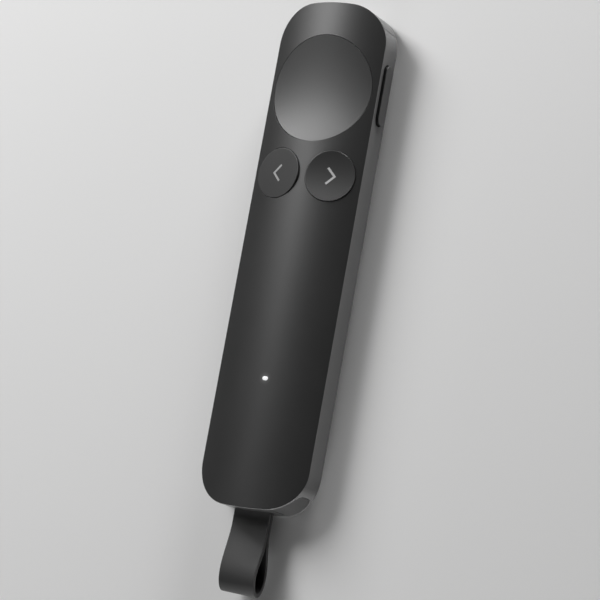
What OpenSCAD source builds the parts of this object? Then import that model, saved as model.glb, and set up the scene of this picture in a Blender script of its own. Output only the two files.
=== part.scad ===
// Wireless presentation clicker: a slim lens-shaped wand that lies on its back.
// X runs across the body, Y towards the pointer end, Z out of the face.
// The origin is the centre of the flat land that the back rests on.

/* [Body] */
// Width of the body
body_w = 28; // [26.5:0.5:30]
// Length of the body without its loop
body_l = 119; // [114:1:130]
// Height of the straight side wall
band_h = 5.9; // [5.7:0.1:7]
// Rise of the face and of the back above the side wall
crown_rise = 3.1; // [2.9:0.1:3.6]
// Radius of the four corners seen from the front
corner_r = 9.5; // [8.5:0.1:10.5]
// Radius of the slightly bowed ends
end_r = 68; // [60:1:90]
// Depth of the flat land ground into the back
rest_depth = 0.3; // [0.2:0.05:0.5]

/* [Band and covers] */
// Wall of the side band
band_t = 1.2; // [1.1:0.05:1.4]
// Width of the band's rim seen around each cover
rim_w = 0.25; // [0.25:0.05:0.5]
// Thickness of the front cover
cover_t = 1.2; // [1:0.05:1.3]
// Thickness of the back cover
back_t = 1.3; // [1.1:0.05:1.4]
// Gap between a cover's edge and the rim
cover_gap = 0.05; // [0.04:0.01:0.1]
// Thickness of the ribs that centre the covers in the band
rib_t = 1; // [0.8:0.1:1.2]
// Length of the ribs along each long side
rib_l = 88; // [70:1:90]
// Reach of the ribs below the covers' edges
rib_h = 1; // [0.8:0.1:1.2]
// Length of one snap on a rib
snap_l = 6; // [4:0.5:8]
// Height of one snap on a rib
snap_h = 0.5; // [0.4:0.05:0.6]
// How far a snap reaches into the band
snap_reach = 0.35; // [0.25:0.05:0.5]

/* [End caps] */
// Width of the window in each end of the band
window_w = 25.2; // [22:0.1:25.4]
// Corner radius of the window
window_r = 1.5; // [0.8:0.1:1.8]
// Strip of band left between a window and the face
window_lip = 0.6; // [0.3:0.05:0.7]
// Thickness of an end cap where it fills the window
cap_t = 1.6; // [1.5:0.05:1.7]
// Thickness of the flange behind the band
cap_flange_t = 0.8; // [0.6:0.05:1]
// How far the flange runs along the sides from the corners
cap_flange_l = 1; // [0.5:0.1:1.5]
// Height of the flange
cap_flange_h = 4.1; // [3.7:0.1:4.1]

/* [Pointer key] */
// Distance of the pointer key's centre from the top end
pointer_inset = 20.4; // [20:0.1:22]
// Radius of the pointer key
pointer_r = 12.7; // [11.5:0.1:12.7]
// Depth of its dish
pointer_dish = 1.3; // [0.8:0.1:1.6]
// Depth of the dish's rim under the face
pointer_sink = 0.06; // [0.04:0.01:0.15]
// Thickness of the key at its long sides
pointer_edge_t = 0.7; // [0.6:0.02:0.8]
// Radius of the stem under the key
pointer_stem_r = 1.6; // [1.3:0.1:2]
// Width of the lugs that hold the key under the cover
pointer_lug_w = 7; // [5:0.5:9]
// Reach of the lugs under the cover
pointer_lug_l = 1; // [0.7:0.1:1.3]
// Thickness of the lugs
pointer_lug_t = 0.8; // [0.6:0.1:1]

/* [Small keys] */
// Distance between the pointer key and the small keys
key_pitch = 20.75; // [20:0.05:22]
// Distance of each small key from the centre line
key_x = 6.8; // [6.5:0.05:7]
// Radius of the small keys
key_r = 5.87; // [5.3:0.01:5.9]
// Thickness of the small keys
key_t = 1.8; // [1.6:0.1:2]
// How far the keys' flat tops lie under the crown's highest point
key_sink = 0.1; // [0:0.02:0.2]
// Depth of the groove across the next key
key_scoop = 0.4; // [0.2:0.02:0.44]
// Thickness of the lugs that hold a small key under the cover
key_lug_t = 0.6; // [0.5:0.1:0.7]
// Width of those lugs
key_lug_w = 5; // [4:0.5:6]
// Reach of those lugs under the cover
key_lug_l = 0.7; // [0.5:0.1:0.9]
// Radius of the stem under a small key
key_stem_r = 1.2; // [1:0.1:1.5]
// Width of an arrow's stroke
arrow_stroke = 0.52; // [0.42:0.02:0.7]
// Reach of an arrow's arms along the body
arrow_rise = 1.9; // [1.4:0.05:2]
// Reach of an arrow's arms across the body
arrow_run = 1.85; // [1.4:0.05:2]
// Distance of an arrow's tip from the key's centre
arrow_tip = 1.1; // [0.8:0.05:1.3]
// Depth of the arrow inlay
arrow_t = 0.3; // [0.2:0.05:0.4]

/* [Side key] */
// Length of the side key
side_key_l = 14.25; // [12:0.25:15]
// Width of the side key
side_key_w = 3.2; // [3:0.1:3.7]
// How far the side key stands out of the band
side_key_proud = 0.7; // [0.5:0.05:0.9]
// Overhang of its flange behind the band at both ends
side_flange = 0.45; // [0.35:0.05:0.5]
// Thickness of its flange
side_flange_t = 0.65; // [0.5:0.05:0.7]
// Radius of its stem
side_stem_r = 0.9; // [0.8:0.05:1.1]

/* [Status light] */
// Distance of the light from the bottom end
light_inset = 29.7; // [29:0.1:34]
// Width of the light
light_w = 1.4; // [1.2:0.1:1.8]
// Length of the light along the body
light_l = 1; // [0.8:0.1:1.2]
// Overhang of the light pipe's collar
light_collar = 0.7; // [0.5:0.1:0.9]
// Thickness of the collar
light_collar_t = 0.9; // [0.6:0.1:1.2]
// Size of the light source across, along and up
led_size = [1.6, 0.8, 0.6];

/* [Board and battery] */
// Thickness of the main board
board_t = 1; // [0.8:0.1:1.1]
// Room between the board's edges and the band
board_side_gap = 1.8; // [1.7:0.1:2.2]
// Room between the board and the top end
board_top_gap = 7.5; // [7:0.1:8.5]
// Corner radius of the board
board_corner_r = 2; // [1:0.5:3]
// Room between a screw and the board's edge
screw_edge = 2; // [1.8:0.1:2.3]
// Radius of the screws' shanks
screw_r = 0.7; // [0.6:0.05:0.8]
// Radius of the screws' heads
screw_head_r = 1.3; // [1.2:0.05:1.5]
// Height of the screws' heads
screw_head_h = 0.7; // [0.5:0.1:0.9]
// Length of thread in the back cover
screw_bite = 1.4; // [1.1:0.1:1.5]
// Radius of the posts that the board rests on
post_r = 1.9; // [1.7:0.1:2.1]
// Width of the battery cell
battery_w = 17; // [14:0.5:17.5]
// Room over the battery cell
battery_headroom = 0.5; // [0.4:0.1:0.9]
// Thickness of the tape under the battery cell
tape_t = 0.3; // [0.2:0.05:0.4]
// Edge of the cell that the tape leaves free
tape_margin = 0.8; // [0.5:0.1:1.5]
// Corner radius of the battery cell
battery_corner_r = 1.2; // [0.8:0.1:1.6]
// Room between the cell and the status light
battery_light_gap = 4.6; // [4:0.1:6]
// Size of the battery socket across, along and up
socket_size = [5, 2.4, 1.5];
// Radius of the battery leads
lead_r = 0.35; // [0.25:0.05:0.45]
// Distance between the battery leads
lead_pitch = 1.6; // [1.2:0.1:2]
// Size of the radio shield across, along and up
shield_size = [12, 5.8, 1.4];
// Size of the aerial chip across, along and up
aerial_size = [6.8, 1.6, 1.1];
// Size of the motion sensor across, along and up
sensor_size = [3, 3, 0.9];
// Size of the controller across, along and up
chip_size = [6, 6, 0.85];

/* [Switches] */
// Width of a key switch
switch_w = 4.5; // [4:0.1:5]
// Height of a key switch
switch_h = 1.5; // [1.4:0.05:1.6]
// Radius of a switch's plunger
plunger_r = 0.7; // [0.6:0.05:0.9]
// How far a plunger stands out of its switch
plunger_out = 0.45; // [0.4:0.01:0.5]
// How deep a plunger sits in its switch
plunger_in = 0.7; // [0.6:0.05:0.75]
// Floor left under a plunger's bore
switch_floor = 0.25; // [0.2:0.05:0.3]
// Depth of the small keys' switches under the crown
key_switch_depth = 6; // [5.7:0.1:6]
// Width of the cradle under the small keys
cradle_w = 18; // [17:0.5:19]
// Length of the cradle under the small keys
cradle_l = 8.4; // [7:0.2:9]
// Thickness of the flexible circuit on the cradle
flex_t = 0.15; // [0.1:0.05:0.2]
// Width of the circuit's tail
flex_tail_w = 4; // [3:0.5:5]
// Depth of the side key's switch behind its plunger
side_switch_d = 2.5; // [2.2:0.1:3]

/* [Charge port and receiver] */
// Width of the plug's metal shell
plug_w = 8.25; // [8.2:0.01:8.3]
// Height of the plug's metal shell
plug_h = 2.4; // [2.35:0.01:2.42]
// Wall of the plug's metal shell
plug_wall = 0.3; // [0.25:0.05:0.35]
// Length of the plug in front of the receiver
plug_l = 6; // [5.8:0.1:6.2]
// Length of the plug held inside the receiver
plug_root = 1.9; // [1.5:0.1:2.1]
// Length of the plug's insert
insert_l = 4.2; // [4:0.1:4.4]
// Wall of the port's metal shell
port_wall = 0.3; // [0.25:0.05:0.35]
// Depth of the port
port_depth = 6.3; // [6.25:0.05:6.5]
// Thickness of the port's back
port_back = 1; // [0.8:0.1:1.2]
// Width of the port's tongue
tongue_w = 6.7; // [6.5:0.05:6.8]
// Thickness of the port's tongue
tongue_t = 0.7; // [0.6:0.05:0.75]
// Gap between the port's mouth and the receiver
port_setback = 0.2; // [0.1:0.05:0.3]
// How far the port stands over the board's end
port_overhang = 1.4; // [1:0.1:1.8]
// Width of the receiver
receiver_w = 13; // [12.5:0.1:13.2]
// Height of the receiver
receiver_h = 6.4; // [6.2:0.1:6.5]
// Length of the receiver without its plug
receiver_l = 7.4; // [7.2:0.1:8]
// Corner radius of the receiver
receiver_r = 1.6; // [1.2:0.1:2]
// Gap around the receiver in its bay
receiver_gap = 0.15; // [0.1:0.01:0.2]
// Wall of the bay around the receiver
bay_wall = 0.55; // [0.5:0.05:0.6]
// Width of the receiver's board
dongle_board_w = 11; // [9:0.5:11.4]
// Thickness of the receiver's board
dongle_board_t = 0.8; // [0.6:0.1:0.9]
// Length of the receiver's board behind the plug
dongle_board_l = 0.9; // [0.6:0.05:0.9]
// Width of the board's tail in the plug
dongle_tail_w = 6; // [5:0.5:6.5]

/* [Strap] */
// Width of the strap
strap_w = 9.4; // [8.5:0.1:9.6]
// Thickness of the strap
strap_t = 0.9; // [0.8:0.05:0.95]
// Reach of the loop beyond the body's end
strap_reach = 19.2; // [17:0.1:24]
// Thickness of the loop at its widest place
strap_bulge = 5.5; // [4.5:0.1:6]
// Gap between the strap's two layers where they leave the receiver
strap_layer_gap = 0.05; // [0.03:0.01:0.1]
// Stretch where the two layers lie together
strap_closed = 4.5; // [3:0.5:6]
// Distance of the widest place from the loop's end
strap_head = 4.9; // [4:0.1:6]
// Radius of the pin that holds the strap
pin_r = 0.8; // [0.7:0.05:0.9]
// Depth of the pin in the receiver
pin_depth = 2.5; // [2.4:0.1:2.6]
// Hold of the pin in the receiver on each side
pin_hold = 1.2; // [0.9:0.1:1.4]

/* [Vibration motor] */
// Radius of the motor's can
motor_r = 2; // [1.8:0.1:2.2]
// Length of the motor's can
motor_l = 7; // [6:0.5:7.5]
// Distance of the motor from the board's edge
motor_inset = 5.5; // [5:0.1:6]
// Wall of the rubber sleeve around the motor
sleeve_t = 0.4; // [0.3:0.05:0.5]
// Length of the rubber sleeve
sleeve_l = 5; // [4:0.5:5.5]
// Radius of the motor's shaft
shaft_r = 0.35; // [0.3:0.05:0.4]
// Radius of the swinging weight
weight_r = 1.9; // [1.7:0.05:2]
// Length of the swinging weight
weight_l = 2.6; // [2:0.1:2.8]
// Gap between the motor and its weight
weight_gap = 0.3; // [0.2:0.05:0.4]
// Gap between the motor and the charge port
motor_port_gap = 1.2; // [1:0.1:1.5]

/* [Fits] */
// Gap around a key in its opening
key_gap = 0.1; // [0.08:0.01:0.15]
// Gap around the small keys and the side key
small_key_gap = 0.14; // [0.12:0.01:0.2]
// Gap between parts that lie against each other
seat_gap = 0.05; // [0.03:0.01:0.08]
// Radial gap of a plunger or a shaft in its bore
bore_gap = 0.04; // [0.02:0.01:0.06]

/* [Hidden] */
$fn = 96;
crown_fn = 240;

// Heights of the lens-shaped section
edge_lo = crown_rise - rest_depth;
edge_hi = edge_lo + band_h;
top_z = edge_hi + crown_rise;
mid_z = (edge_lo + edge_hi) / 2;
crown_r = arc_r(body_w / 2, crown_rise);
face_cz = top_z - crown_r;
back_cz = crown_r - rest_depth;
inner_x = body_w / 2 - band_t;
end_y = body_l / 2;

// Plan outline: a corner arc runs tangent into the bowed end
end_cy = end_y - end_r;
corner_x = body_w / 2 - corner_r;
corner_y = end_cy + sqrt(pow(end_r - corner_r, 2) - pow(corner_x, 2));
tall = 3 * top_z;

// Places along the body
pointer_y = end_y - pointer_inset;
key_y = pointer_y - key_pitch;
light_y = light_inset - end_y;
receiver_y = receiver_l - end_y;
port_y = receiver_y + port_setback;
port_end_y = port_y + port_depth + port_back;
motor_y = port_end_y + motor_port_gap;
board_lo_y = port_y + port_overhang;
board_hi_y = end_y - board_top_gap;

// Board, port and battery heights
port_w = plug_w + 2 * bore_gap;
port_h = plug_h + 4 * bore_gap;
board_z = mid_z - port_h / 2 - port_wall;
board_half = inner_x - board_side_gap;
screw_x = board_half - screw_edge;
socket_y = key_y - cradle_l / 2 - flex_t - screw_head_r - socket_size[1] / 2 - 1.2;
screw_ys = [board_hi_y - 5, socket_y, light_y + 1.8, board_lo_y + 3.5];
battery_hi_y = socket_y - socket_size[1] / 2 - 1.2;
battery_lo_y = light_y + battery_light_gap;
battery_z = board_z + tape_t;
battery_t = face_z(battery_w / 2, cover_t) - battery_z - battery_headroom;

// Keys and switches
key_cant = asin(key_x / crown_r);
pointer_under = face_z(pointer_r, 0) - pointer_edge_t;
key_under = key_sink + key_t;
key_lug_z = cover_t + arc_drop(crown_r - cover_t, key_lug_w / 2) + 3 * seat_gap;
side_switch_x = inner_x - seat_gap * 3 - side_flange_t - 1.55 - plunger_out;
side_switch_h = 2 * (mid_z - board_z);

// Strap and pin, measured from the body's bottom end
pin_y = pin_depth - end_y;
wrap_r = pin_r + seat_gap + strap_t / 2;
layer_z = (strap_t + strap_layer_gap) / 2;
strap_slot_h = 2 * strap_t + strap_layer_gap + 0.2;

// Vibration motor
motor_z = board_z + sleeve_t + motor_r;
motor_x = board_half - motor_inset;

// Radius of an arc with a given half width and rise
function arc_r(half, rise) = (half * half + rise * rise) / (2 * rise);
// Drop of an arc of radius r at distance x from its top
function arc_drop(r, x) = r - sqrt(r * r - x * x);
// Height of the face, or of a surface a depth under it, at distance x
function face_z(x, depth) = face_cz + sqrt(pow(crown_r - depth, 2) - x * x);
// Height of the back, or of a surface a depth inside it, at distance x
function back_z(x, depth) = back_cz - sqrt(pow(crown_r - depth, 2) - x * x);

// Shared shapes

module rounded_rect(w, h, r) {
    square([w - 2 * r, h], center = true);
    square([w, h - 2 * r], center = true);
    for (sx = [-1, 1], sy = [-1, 1])
        translate([sx * (w / 2 - r), sy * (h / 2 - r)])
            circle(r);
}

module stadium(w, h) {
    r = min(w, h) / 2;
    square([w > h ? w - 2 * r : w, h > w ? h - 2 * r : h], center = true);
    for (s = [-1, 1])
        translate(w > h ? [s * (w / 2 - r), 0] : [0, s * (h / 2 - r)])
            circle(r);
}

module centred_box(size) {
    translate([-size[0] / 2, -size[1] / 2, 0])
        cube(size);
}

// Plan outline of the body, moved inwards
module outline(inset = 0) {
    square([body_w - 2 * inset, 2 * corner_y], center = true);
    for (sx = [-1, 1], sy = [-1, 1])
        translate([sx * corner_x, sy * corner_y])
            circle(corner_r - inset);
    reach = 2 * end_r / (end_r - corner_r);
    for (sy = [-1, 1])
        intersection() {
            translate([0, sy * end_cy])
                circle(end_r - inset, $fn = crown_fn);
            polygon([
                [0, sy * end_cy],
                [reach * corner_x, sy * (end_cy + reach * (corner_y - end_cy))],
                [-reach * corner_x, sy * (end_cy + reach * (corner_y - end_cy))]
            ]);
        }
}

module along_y(r, z) {
    translate([0, 0, z])
        rotate([90, 0, 0])
            cylinder(r = r, h = 2 * body_l, center = true, $fn = crown_fn);
}

module under_face(depth = 0) along_y(crown_r - depth, face_cz);
module over_back(depth = 0) along_y(crown_r - depth, back_cz);

// The body's form, moved inwards at its sides, face and back
module form(side = 0, front = 0, back = 0) {
    intersection() {
        linear_extrude(tall)
            outline(side);
        under_face(front);
        over_back(back);
    }
}

// Runs a shape drawn in the X-Z plane along Y, from y0 to y1
module run_y(y0, y1) {
    translate([0, y1, 0])
        rotate([90, 0, 0])
            linear_extrude(y1 - y0)
                children();
}

// Runs a shape drawn in the Y-Z plane along X, from x0 to x1
module run_x(x0, x1) {
    translate([x0, 0, 0])
        rotate([90, 0, 90])
            linear_extrude(x1 - x0)
                children();
}

// Frame on the crown at a small key, with its own z along the key's travel
module at_key(side) {
    translate([0, key_y, face_cz])
        rotate([0, side * key_cant, 0])
            translate([0, 0, crown_r])
                children();
}

// Window in an end of the band: its long edges follow the face and the back
module window_shape(inset = 0) {
    r = window_r - inset;
    half = window_w / 2 - inset;
    mid_r = crown_r - window_lip - window_r;
    cx = half - r;
    cz = face_cz + sqrt(mid_r * mid_r - cx * cx);
    lens_r = mid_r + r;
    tangent_x = cx * lens_r / mid_r;
    intersection() {
        translate([0, face_cz])
            circle(lens_r, $fn = crown_fn);
        translate([0, back_cz])
            circle(lens_r, $fn = crown_fn);
        translate([-tangent_x, -tall])
            square([2 * tangent_x, 2 * tall]);
    }
    for (sx = [-1, 1], z = [cz, 2 * mid_z - cz])
        translate([sx * cx, z])
            circle(r);
    translate([-half, 2 * mid_z - cz])
        square([2 * half, 2 * (cz - mid_z)]);
}

// Straight ribs inside the band's long sides, with their snaps
module ribs(z0, z1, snap_z) {
    for (side = [-1, 1]) {
        translate([side * (inner_x - seat_gap - rib_t / 2), 0, z0])
            centred_box([rib_t, rib_l, z1 - z0]);
        snaps(side, snap_z, 0);
    }
}

// Snaps of one side, or the pockets that they enter when grown by a gap
module snaps(side, z, grow) {
    reach = snap_reach + seat_gap + rib_t / 2;
    for (y = [-rib_l / 2 + 8, 2, -rib_l / 4 + 4])
        translate([side * (inner_x + snap_reach + grow - (reach + grow) / 2), y, z - grow])
            centred_box([reach + grow, snap_l + 2 * grow, snap_h + 2 * grow]);
}

front_snap_z = edge_hi - cover_t - rib_h - 0.25;
back_snap_z = edge_lo + back_t + rib_h - 0.25;

// Slot that the side key comes out of
module side_key_slot() {
    run_x(body_w / 4, body_w)
        translate([pointer_y, mid_z])
            stadium(side_key_l + 2 * small_key_gap, side_key_w + 2 * small_key_gap);
}

// Room that the side key's flange needs inside the band
module side_key_room() {
    translate([inner_x - side_flange_t - 0.5, pointer_y, 0])
        centred_box([4, side_key_l + 2 * side_flange + 1, tall]);
}

// Shell

module front_cover() {
    color([0.16, 0.16, 0.17])
    difference() {
        union() {
            difference() {
                form(rim_w + cover_gap);
                under_face(cover_t);
                translate([0, 0, mid_z - tall])
                    centred_box([2 * body_w, 2 * body_l, tall]);
            }
            difference() {
                intersection() {
                    ribs(edge_hi - cover_t - rib_h, top_z, front_snap_z);
                    union() {
                        under_face(cover_t / 2);
                        translate([0, 0, front_snap_z])
                            centred_box([body_w, body_l, snap_h]);
                    }
                }
                side_key_room();
            }
        }
        translate([0, pointer_y, 0])
            cylinder(r = pointer_r + key_gap, h = tall);
        for (side = [-1, 1])
            at_key(side)
                cylinder(r = key_r + small_key_gap, h = 2 * key_lug_z, center = true);
        for (side = [-1, 1])
            at_key(side)
                translate([0, 0, -3 * key_lug_z])
                    cylinder(r = key_r + small_key_gap, h = 3 * key_lug_z);
        translate([0, light_y, mid_z])
            linear_extrude(tall)
                stadium(light_w + 2 * seat_gap, light_l + 2 * seat_gap);
        side_key_slot();
    }
}

module side_band() {
    color([0.33, 0.33, 0.34])
    difference() {
        form();
        translate([0, 0, -1])
            linear_extrude(tall)
                outline(band_t);
        difference() {
            translate([0, 0, mid_z])
                linear_extrude(tall)
                    outline(rim_w);
            under_face(cover_t + seat_gap);
        }
        difference() {
            translate([0, 0, mid_z - tall])
                linear_extrude(tall)
                    outline(rim_w);
            over_back(back_t + seat_gap);
        }
        run_y(corner_y, body_l)
            window_shape();
        run_y(-body_l, -corner_y)
            window_shape();
        side_key_slot();
        for (side = [-1, 1]) {
            snaps(side, front_snap_z, seat_gap);
            snaps(side, back_snap_z - snap_h, seat_gap);
        }
    }
}

module back_cover() {
    post_top = board_z - board_t;
    color([0.2, 0.2, 0.21])
    difference() {
        union() {
            difference() {
                form(rim_w + cover_gap);
                over_back(back_t);
                translate([0, 0, mid_z])
                    centred_box([2 * body_w, 2 * body_l, tall]);
            }
            difference() {
                intersection() {
                    ribs(rest_depth, edge_lo + back_t + rib_h, back_snap_z - snap_h);
                    union() {
                        over_back(back_t / 2);
                        translate([0, 0, back_snap_z - snap_h])
                            centred_box([body_w, body_l, snap_h]);
                    }
                }
                side_key_room();
            }
            intersection() {
                for (side = [-1, 1], y = screw_ys)
                    translate([side * screw_x, y, 0])
                        cylinder(r = post_r, h = post_top);
                over_back(back_t / 2);
            }
        }
        for (side = [-1, 1], y = screw_ys)
            translate([side * screw_x, y, post_top - screw_bite - 0.1])
                cylinder(r = screw_r + bore_gap, h = tall);
        side_key_slot();
    }
}

// Cap that fills a window, with its flange behind the band
module end_cap(end) {
    flange_in = band_t + seat_gap;
    y0 = corner_y - cap_flange_l;
    intersection() {
        difference() {
            form();
            translate([0, 0, -1])
                linear_extrude(tall)
                    outline(rim_w);
        }
        end_run(end, y0)
            window_shape(seat_gap);
    }
    intersection() {
        difference() {
            form(0, cover_t + 3 * seat_gap, back_t + 3 * seat_gap);
            translate([0, 0, -1])
                linear_extrude(tall)
                    outline(cap_t);
        }
        end_run(end, y0)
            window_shape(seat_gap);
    }
    translate([0, 0, mid_z - cap_flange_h / 2])
        intersection() {
            linear_extrude(cap_flange_h)
                difference() {
                    outline(flange_in);
                    outline(flange_in + cap_flange_t);
                }
            translate([-body_w, end > 0 ? y0 : -y0 - body_l, -1])
                cube([2 * body_w, body_l, tall]);
        }
}

module end_run(end, y0) {
    if (end > 0)
        run_y(y0, body_l)
            children();
    else
        run_y(-body_l, -y0)
            children();
}

module top_end_cap() {
    color([0.29, 0.29, 0.3])
        end_cap(1);
}

module bottom_end_cap() {
    mouth_w = receiver_w + 2 * receiver_gap;
    mouth_h = receiver_h + 2 * receiver_gap;
    color([0.29, 0.29, 0.3])
    difference() {
        union() {
            end_cap(-1);
            run_y(cap_t / 2 - end_y, receiver_y)
                translate([0, mid_z])
                    rounded_rect(mouth_w + 2 * bay_wall, mouth_h + 2 * bay_wall, receiver_r + bay_wall);
        }
        run_y(-body_l, body_l)
            translate([0, mid_z])
                rounded_rect(mouth_w, mouth_h, receiver_r + receiver_gap);
        translate([-body_w, -end_y - body_l, -1])
            difference() {
                cube([2 * body_w, body_l + 3, tall]);
                translate([body_w, end_y + body_l, 0])
                    linear_extrude(tall)
                        outline(0);
            }
    }
}

// Keys

// Solid whose underside is the pointer key's dish
module dish_cutter() {
    drop_x = arc_drop(crown_r, pointer_r) - pointer_dish;
    across_r = arc_r(pointer_r, drop_x);
    along_r = arc_r(pointer_r, pointer_dish);
    translate([0, pointer_y, top_z - pointer_sink - pointer_dish - across_r])
        rotate([90, 0, 0])
            rotate_extrude($fn = crown_fn)
                translate([across_r + along_r, 0])
                    circle(along_r, $fn = crown_fn);
}

module pointer_key() {
    switch_top = board_z + switch_h + plunger_out;
    lug_z = face_z(pointer_lug_w / 2, cover_t) - 3 * seat_gap;
    color([0.2, 0.2, 0.21])
    difference() {
        union() {
            intersection() {
                translate([0, pointer_y, pointer_under])
                    cylinder(r = pointer_r, h = tall);
                under_face(-pointer_sink);
            }
            translate([0, pointer_y, lug_z - pointer_lug_t])
                centred_box([pointer_lug_w, 2 * (pointer_r + pointer_lug_l), pointer_lug_t]);
            translate([0, pointer_y, switch_top])
                cylinder(r = pointer_stem_r, h = pointer_under - switch_top + 0.5);
        }
        dish_cutter();
    }
}

// Body of a small key in its own frame, before its top is shaped
module small_key_blank() {
    stem_z = key_switch_depth - switch_h - plunger_out;
    translate([0, 0, -key_under])
        cylinder(r = key_r, h = key_t);
    translate([0, 0, -key_lug_z - key_lug_t])
        intersection() {
            cylinder(r = key_r + key_lug_l, h = key_lug_t);
            centred_box([key_lug_w, 2 * body_w, key_lug_t]);
        }
    translate([0, 0, -key_lug_z - key_lug_t])
        cylinder(r = key_r - 1, h = key_lug_z + key_lug_t - key_under + 0.2);
    translate([0, 0, -stem_z])
        cylinder(r = key_stem_r, h = stem_z - key_under);
}

// Cylinder that scoops the top of the next key
module scoop() {
    r = arc_r(key_r, key_scoop);
    translate([0, 0, r - key_scoop - key_sink])
        rotate([0, 90, 0])
            cylinder(r = r, h = 4 * key_r, center = true, $fn = crown_fn);
}

// Arrow that points to the right, as a flat outline grown by a gap
module arrow_shape(grow = 0) {
    len = sqrt(arrow_rise * arrow_rise + arrow_run * arrow_run);
    half = arrow_stroke / 2 + grow;
    tip = half * len / arrow_rise;
    nx = half * arrow_rise / len;
    ny = half * arrow_run / len;
    ex = arrow_tip - arrow_run - grow * arrow_run / len;
    ey = arrow_rise + grow * arrow_rise / len;
    polygon([
        [arrow_tip + tip, 0], [ex + nx, ey + ny], [ex - nx, ey - ny],
        [arrow_tip - tip, 0], [ex - nx, ny - ey], [ex + nx, -ey - ny]
    ]);
}

module arrow_inlay(grow = 0, depth = arrow_t) {
    translate([0, 0, -key_sink - depth - grow])
        linear_extrude(depth + grow)
            arrow_shape(grow);
}

module prev_key() {
    color([0.22, 0.22, 0.23])
    at_key(-1)
        difference() {
            small_key_blank();
            mirror([1, 0, 0])
                arrow_inlay(0.01, arrow_t + 0.01);
            translate([0, 0, -key_sink])
                cylinder(r = 2 * key_r, h = 1);
        }
}

module next_key() {
    color([0.22, 0.22, 0.23])
    at_key(1)
        difference() {
            small_key_blank();
            scoop();
            translate([0, 0, -key_scoop])
                arrow_inlay(0.01, arrow_t);
            translate([0, 0, -key_sink - key_scoop - 0.01])
                linear_extrude(1)
                    arrow_shape(0.01);
        }
}

module prev_arrow() {
    color([0.78, 0.78, 0.78])
        at_key(-1)
            mirror([1, 0, 0])
                arrow_inlay();
}

module next_arrow() {
    color([0.78, 0.78, 0.78])
    at_key(1)
        difference() {
            arrow_inlay(0, arrow_t + key_scoop);
            scoop();
        }
}

module side_key() {
    flange_x = inner_x - 3 * seat_gap;
    color([0.2, 0.2, 0.21]) {
        run_x(flange_x - side_flange_t, body_w / 2 + side_key_proud)
            translate([pointer_y, mid_z])
                stadium(side_key_l, side_key_w);
        run_x(flange_x - side_flange_t, flange_x)
            translate([pointer_y, mid_z])
                stadium(side_key_l + 2 * side_flange, side_key_w);
        run_x(side_switch_x + plunger_out, flange_x)
            translate([pointer_y, mid_z])
                circle(side_stem_r);
    }
}

// Status light

module light_pipe() {
    collar_z = face_z(light_w / 2 + light_collar, cover_t) - seat_gap;
    color([0.95, 0.95, 0.95]) {
        intersection() {
            translate([0, light_y, board_z + led_size[2] + seat_gap])
                linear_extrude(tall)
                    stadium(light_w, light_l);
            under_face();
        }
        translate([0, light_y, collar_z - light_collar_t])
            linear_extrude(light_collar_t)
                stadium(light_w + 2 * light_collar, light_l + 2 * light_collar);
    }
}

module status_led() {
    color([0.95, 0.93, 0.85])
        translate([0, light_y, board_z])
            centred_box(led_size);
}

// Board and what it carries

module main_board() {
    color([0.05, 0.28, 0.18])
    difference() {
        translate([0, (board_lo_y + board_hi_y) / 2, board_z - board_t])
            linear_extrude(board_t)
                rounded_rect(2 * board_half, board_hi_y - board_lo_y, board_corner_r);
        for (side = [-1, 1], y = screw_ys)
            translate([side * screw_x, y, 0])
                cylinder(r = screw_r + 2 * bore_gap, h = tall);
    }
}

module board_screws() {
    slot = 0.3;
    color([0.7, 0.7, 0.72])
    for (side = [-1, 1], y = screw_ys)
        translate([side * screw_x, y, board_z])
            difference() {
                union() {
                    cylinder(r = screw_head_r, h = screw_head_h);
                    translate([0, 0, -board_t - screw_bite])
                        cylinder(r = screw_r, h = board_t + screw_bite);
                }
                for (turn = [0, 90])
                    rotate([0, 0, turn])
                        translate([0, 0, screw_head_h - slot])
                            centred_box([1.4 * screw_head_r, slot, slot + 0.1]);
            }
}

// Half space over a small key's switch plane, on its own side
module over_switch_plane(side, depth) {
    intersection() {
        at_key(side)
            translate([0, 0, -depth])
                centred_box([4 * body_w, 2 * body_w, tall]);
        translate([side * body_w, key_y, -tall])
            centred_box([2 * body_w, 2 * body_w, 3 * tall]);
    }
}

module key_cradle() {
    color([0.12, 0.12, 0.13])
    difference() {
        translate([0, key_y, board_z])
            centred_box([cradle_w, cradle_l, key_switch_depth]);
        for (side = [-1, 1])
            over_switch_plane(side, key_switch_depth + flex_t);
    }
}

module key_flex() {
    ridge_z = face_cz + (crown_r - key_switch_depth) / cos(key_cant);
    color([0.75, 0.5, 0.15]) {
        difference() {
            intersection() {
                translate([0, key_y, board_z])
                    centred_box([cradle_w - 1, cradle_l, tall]);
                union()
                    for (side = [-1, 1])
                        over_switch_plane(side, key_switch_depth + flex_t);
            }
            for (side = [-1, 1])
                over_switch_plane(side, key_switch_depth);
        }
        translate([0, key_y - (cradle_l + flex_t) / 2, board_z])
            centred_box([flex_tail_w, flex_t, ridge_z - board_z - 0.6]);
    }
}

// Can of a key switch: it stands on z = 0 and is bored for its plunger
module switch_can(across = switch_w, along = switch_w) {
    difference() {
        centred_box([across, along, switch_h]);
        translate([0, 0, switch_floor])
            cylinder(r = plunger_r + bore_gap, h = switch_h);
    }
}

module plunger() {
    translate([0, 0, switch_h - plunger_in])
        cylinder(r = plunger_r, h = plunger_in + plunger_out);
}

module at_pointer_switch() {
    translate([0, pointer_y, board_z])
        children();
}

module at_key_switch(side) {
    at_key(side)
        translate([0, 0, -key_switch_depth])
            children();
}

module at_side_switch() {
    translate([side_switch_x - switch_h, pointer_y, mid_z])
        rotate([0, 90, 0])
            children();
}

module pointer_switch() {
    color([0.75, 0.75, 0.77])
        at_pointer_switch()
            switch_can();
}

module pointer_plunger() {
    color([0.1, 0.1, 0.1])
        at_pointer_switch()
            plunger();
}

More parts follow.
